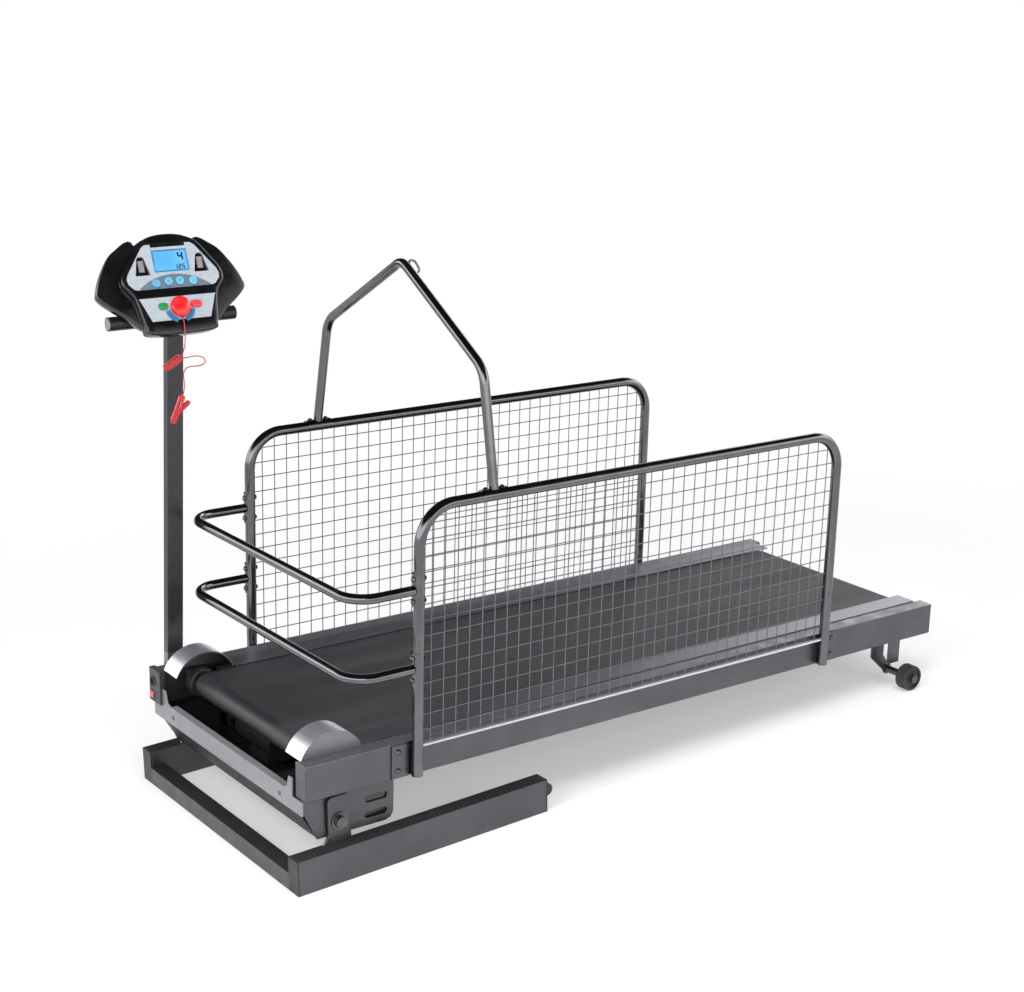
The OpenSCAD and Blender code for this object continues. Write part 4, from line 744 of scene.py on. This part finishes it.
def makeTrim(c):  # visor strip, grip ends, member screws, rocker frame, and dark sheets behind the plate slots that paint the shade seen through them
    bm = bmesh.new()
    prism(bm, boxLine(*c["visor"]), *c["visorSpan"], c["visorSoft"], faceMm)
    finishPiece("visor_strip", bm, "console_black", "deck")
    bm = bmesh.new()
    for x, side in zip(c["gripX"], (-1, 1)):
        lathe(bm, c["gripEnd"], c["gripSides"], deckMm @ Matrix.Translation((x, *c["gripYZ"])) @ quarter("Y", side))
    finishPiece("grip_ends", bm, "light_paint", "deck")
    front = quarter("Y", -1)
    bm = bmesh.new()
    for y, z in c["screws"]:
        lathe(bm, c["screwHead"], c["screwSides"], deckMm @ Matrix.Translation((c["screwX"], y, z)) @ front)
    finishPiece("member_screws", bm, "dark_steel", "deck")
    bm = bmesh.new()
    w, h = c["rockerHole"]
    rim = c["rockerRim"]
    frameAt = deckMm @ Matrix.Translation((c["rockerX"], *c["rocker"])) @ front
    for side in (-1, 1):
        upright = boxLine(side * (h + rim) / 2, 0, rim, w + 2 * rim)
        level = boxLine(0, side * (w + rim) / 2, h, rim)
        for bar in (upright, level):
            prism(bm, bar, 0.0, c["rockerHigh"], c["rockerSoft"], frameAt)
    finishPiece("rocker_frame", bm, "switch_plastic", "deck")
    # painted shade: a dark sheet behind each side plate's slots, so that the slots look dark
    bm = bmesh.new()
    for side in (-1, 1):
        low, high = sorted(-side * y for y in c["shadeSheetY"])
        prism(bm, boxLine(*c["shadeSheet"]), low, high, c["shadeSheetSoft"], deckMm @ quarter("X"))
    finishPiece("slot_shade_sheets", bm, "console_black", "deck")


wheel = {
    "at": (1837.0, 358.0, -178.96), "sides": 72,
    "section": [(6.05, 0), (29, 0), (31.5, 0.6), (33.2, 2.0), (34, 4), (34, 8), (32.6, 8.6), (32.6, 10.4), (34, 11),
                (34, 16), (32.6, 16.6), (32.6, 18.4), (34, 19), (34, 24), (32.6, 24.6), (32.6, 26.4), (34, 27),
                (34, 30), (33.2, 32), (31.5, 33.4), (29, 34), (27, 34), (26, 33), (25.4, 30), (15, 30), (14.3, 33),
                (13.4, 34), (6.05, 34)],
}


def makeWheels(c):  # grooved treads
    x, y, z = c["at"]
    for name, side in (("right", -1), ("left", 1)):
        bm = bmesh.new()
        place = deckMm @ Matrix.Translation((x, side * y, z)) @ quarter("X", -side)
        lathe(bm, c["section"], c["sides"], place, True)
        finishPiece(f"wheel_tread_{name}", bm, "wheel_rubber", f"wheel_{name}", f"rear_wheel_{name}")


makeShell(shellShape)
makeScreen(screen)
makeCaps(caps)
makeKey(keyCap)
makeTrim(trim)
makeWheels(wheel)
print("detail pieces made")

lanyard = {
    "from": facePoint(0.0, -0.0725, 0.0055), "diameter": 0.0026, "sides": 12, "steps": 5, "turn": 6.0,
    "upper": [(0, 0, 0), (0, -3, -8), (-2, -10, -24), (-7, -20, -42), (-14, -30, -57), (-21, -37.5, -67),
              (-25.5, -40, -75), (-26.4, -37.5, -80.5)],
    "lower": [(-19.8, -9, -94.8), (-17.8, -4.5, -94.9), (-12.5, -2, -95.2), (-5, -3, -95), (3, -7.5, -94),
              (12, -14.5, -91.5), (23, -23.5, -91), (31, -30, -95.5), (33, -32, -102.5), (29, -30, -109.5),
              (18, -23.5, -113), (5, -15.5, -114), (-6, -11.5, -118), (-12.5, -13, -127), (-14.5, -16, -140),
              (-14.8, -17, -157), (-17.5, -17, -170.6), (-20, -17, -176)],
    "hankMid": (-42.6, -20, -98.9), "hankLean": 27.6, "hankHalf": 22.0, "hankDepth": 8.0, "hankPitch": 3.5,
    "hankWaist": 0.12, "hankLoops": 4, "hankRings": 24,
}


def hankLine(c):
    lean = math.radians(c["hankLean"])
    line = []
    for i in range(c["hankLoops"] * c["hankRings"] + 1):
        a = 2.0 * math.pi * i / c["hankRings"]
        side = 1.0 if math.cos(a) > -0.001 else -1.0
        along = side * (c["hankHalf"] - c["hankDepth"]) + c["hankDepth"] * math.cos(a)
        pinch = 1.0 - c["hankWaist"] * (1.0 - math.cos(a) ** 2)
        rise = (c["hankLoops"] / 2.0 - i / c["hankRings"]) * c["hankPitch"] * pinch
        line.append(Vector(c["hankMid"]) + Vector((
            along * math.cos(lean) - rise * math.sin(lean),
            c["hankDepth"] * math.sin(a),
            along * math.sin(lean) + rise * math.cos(lean),
        )))
    return line


def smoothLine(points, steps):  # straight at both ends, rounded between
    line = []
    last = len(points) - 2
    for i in range(last + 1):
        b, c = points[i], points[i + 1]
        for t in (k / steps for k in range(steps)):
            line.append(b + (c - b) * t if i in (0, last) else between(points[i - 1], b, c, points[i + 2], t))
    return line + [points[-1]]


def tubeMesh(line, radius, sides):
    bm = bmesh.new()
    uv = bm.loops.layers.uv.new("cord")
    rings, run, normal = [], [0.0], None
    angles = [2 * math.pi * k / sides for k in range(sides)]
    for i, p in enumerate(line):
        t = (line[min(i + 1, len(line) - 1)] - line[max(i - 1, 0)]).normalized()
        normal = normal if normal else t.orthogonal()
        normal = (normal - t * normal.dot(t)).normalized()
        side = t.cross(normal)
        rings.append([bm.verts.new(p + radius * (math.cos(a) * normal + math.sin(a) * side)) for a in angles])
        if i:
            run.append(run[-1] + (p - line[i - 1]).length)
    for i in range(len(rings) - 1):
        for k in range(sides):
            j = (k + 1) % sides
            f = bm.faces.new((rings[i][k], rings[i][j], rings[i + 1][j], rings[i + 1][k]))
            for loop, (kk, ii) in zip(f.loops, ((k, i), (k + 1, i), (k + 1, i + 1), (k, i + 1))):
                loop[uv].uv = (kk / sides, run[ii])
    bm.faces.new(list(reversed(rings[0])))
    bm.faces.new(rings[-1])
    return bm, run[-1]


def makeLanyard(c):
    hank = hankLine(c)
    turn = Vector((0, c["turn"], 0))
    upper = [Vector(p) for p in c["upper"]] + [hank[0] - 2 * turn, hank[0] - turn, hank[0]]
    lower = [hank[-1], hank[-1] + turn] + [Vector(p) for p in c["lower"]]
    line = smoothLine(upper, c["steps"]) + hank[1:] + smoothLine(lower, c["steps"])[1:]
    path = [c["from"] + p / 1000.0 for p in line]
    bm, length = tubeMesh(path, c["diameter"] / 2.0, c["sides"])
    cord = finishPiece("lanyard", bm, "cord_red", "key", "lanyard_upper", "lanyard_hank", "lanyard_lower")
    tuple(path[0])
    [tuple(p) for p in path]
    print("lanyard", round(length, 3))


makeLanyard(lanyard)

stage = {
    "size": 14.0, "middle": (0.9, 0.0), "drop": 0.0004, "near": 1.1, "far": 2.3, "lengthShare": 0.8, "lift": 0.37,
    "paper": (0.88, 0.88, 0.88, 1.0), "white": (1.0, 1.0, 1.0, 1.0),
}


def makeStage(c):  # paper floor that turns white away from the part
    bm = bmesh.new()
    bmesh.ops.create_grid(bm, x_segments=1, y_segments=1, size=c["size"])
    bmesh.ops.translate(bm, verts=bm.verts, vec=(*c["middle"], -c["drop"]))
    mesh = bpy.data.meshes.new("floor")
    bm.to_mesh(mesh)
    bm.free()
    floor = bpy.data.objects.new("floor", mesh)
    bpy.context.collection.objects.link(floor)
    mat = bpy.data.materials.new("floor")
    mat.use_nodes = True
    mat.node_tree.nodes.clear()
    s = Shade(mat.node_tree)
    x, y = s.place().axes()[:2]
    x, y = (x - c["middle"][0]) * c["lengthShare"], y - c["middle"][1]
    away = (x * x + y * y).root().fade(c["near"], c["far"], c["lift"], 1.0)
    shown = s.ray("Camera").most(s.mirrored())
    paper = s.node("ShaderNodeBsdfDiffuse", None, {0: c["paper"]})
    white = s.node("ShaderNodeEmission", None, {0: c["white"], 1: 1.0})
    mixed = s.node("ShaderNodeMixShader", None, {0: shown * away, 1: paper, 2: white})
    s.node("ShaderNodeOutputMaterial", None, {0: mixed})
    mesh.materials.append(mat)


studio = {
    "white": (1.0, 1.0, 1.0), "fill": (0.60, 0.61, 0.63), "dark": (0.03, 0.03, 0.033), "bright": (3.4, 3.4, 3.45),
    "horizon": 0.16,
    "frontSide": (0.15, -0.25), "frontTop": (0.42, 0.05), "across": (0.804, -0.594), "frontEdge": (-0.7, 0.5),
    "rearSide": (0.60, 0.74), "rearFoot": (0.10, 0.28), "rearTop": (0.58, 0.36), "rear": 0.85,
    "leftSide": (-0.22, -0.42), "leftTop": (0.62, 0.40), "left": 0.9,
}


def makeWorld(c):  # white to the camera; metal sees it to the horizon, and soft bright areas above
    world = bpy.data.worlds.new("studio")
    bpy.context.scene.world = world
    world.use_nodes = True
    world.node_tree.nodes.clear()
    s = Shade(world.node_tree)
    x, y, z = s.coord("Generated").axes()
    across = x * c["across"][0] + y * c["across"][1]
    front = y.fade(*c["frontSide"]) * z.fade(*c["frontTop"]) * across.fade(*c["frontEdge"])
    rear = x.fade(*c["rearSide"]) * z.fade(*c["rearFoot"]) * z.fade(*c["rearTop"]) * c["rear"]
    left = x.fade(*c["leftSide"]) * z.fade(*c["leftTop"]) * c["left"]
    room = front.most(rear.most(left)).tint(c["dark"], c["bright"])
    mirror = z.fade(c["horizon"], 0.0).tint(room, c["white"])
    light = s.ray("Camera").tint(s.mirrored().tint(c["fill"], mirror), c["white"])
    back = s.node("ShaderNodeBackground", None, {0: light, 1: 1.0})
    s.node("ShaderNodeOutputWorld", None, {0: back})


lamps = {
    "top": {"place": (0.4, -1.4, 4.0), "aim": (0.9, 0.0, 0.3), "size": (3.2, 2.2), "power": 110.0},
    "front": {"place": (-2.6, -1.2, 2.8), "aim": (0.2, 0.0, 0.3), "size": (1.4, 1.4), "power": 80.0},
    "near": {"place": (1.8, -4.2, 2.4), "aim": (0.9, 0.0, 0.4), "size": (2.4, 1.4), "power": 45.0},
}


def addLamp(name, c):
    data = bpy.data.lights.new(name, "AREA")
    data.shape = "RECTANGLE"
    data.size, data.size_y = c["size"]
    data.energy = c["power"]
    obj = bpy.data.objects.new(name, data)
    bpy.context.collection.objects.link(obj)
    obj.visible_glossy = False
    obj.location = c["place"]
    obj.rotation_euler = (Vector(c["aim"]) - Vector(c["place"])).to_track_quat("-Z", "Y").to_euler()


makeStage(stage)
makeWorld(studio)
for name, values in lamps.items():
    addLamp(name, values)
bpy.context.scene.view_settings.view_transform = "Standard"
print("stage set")
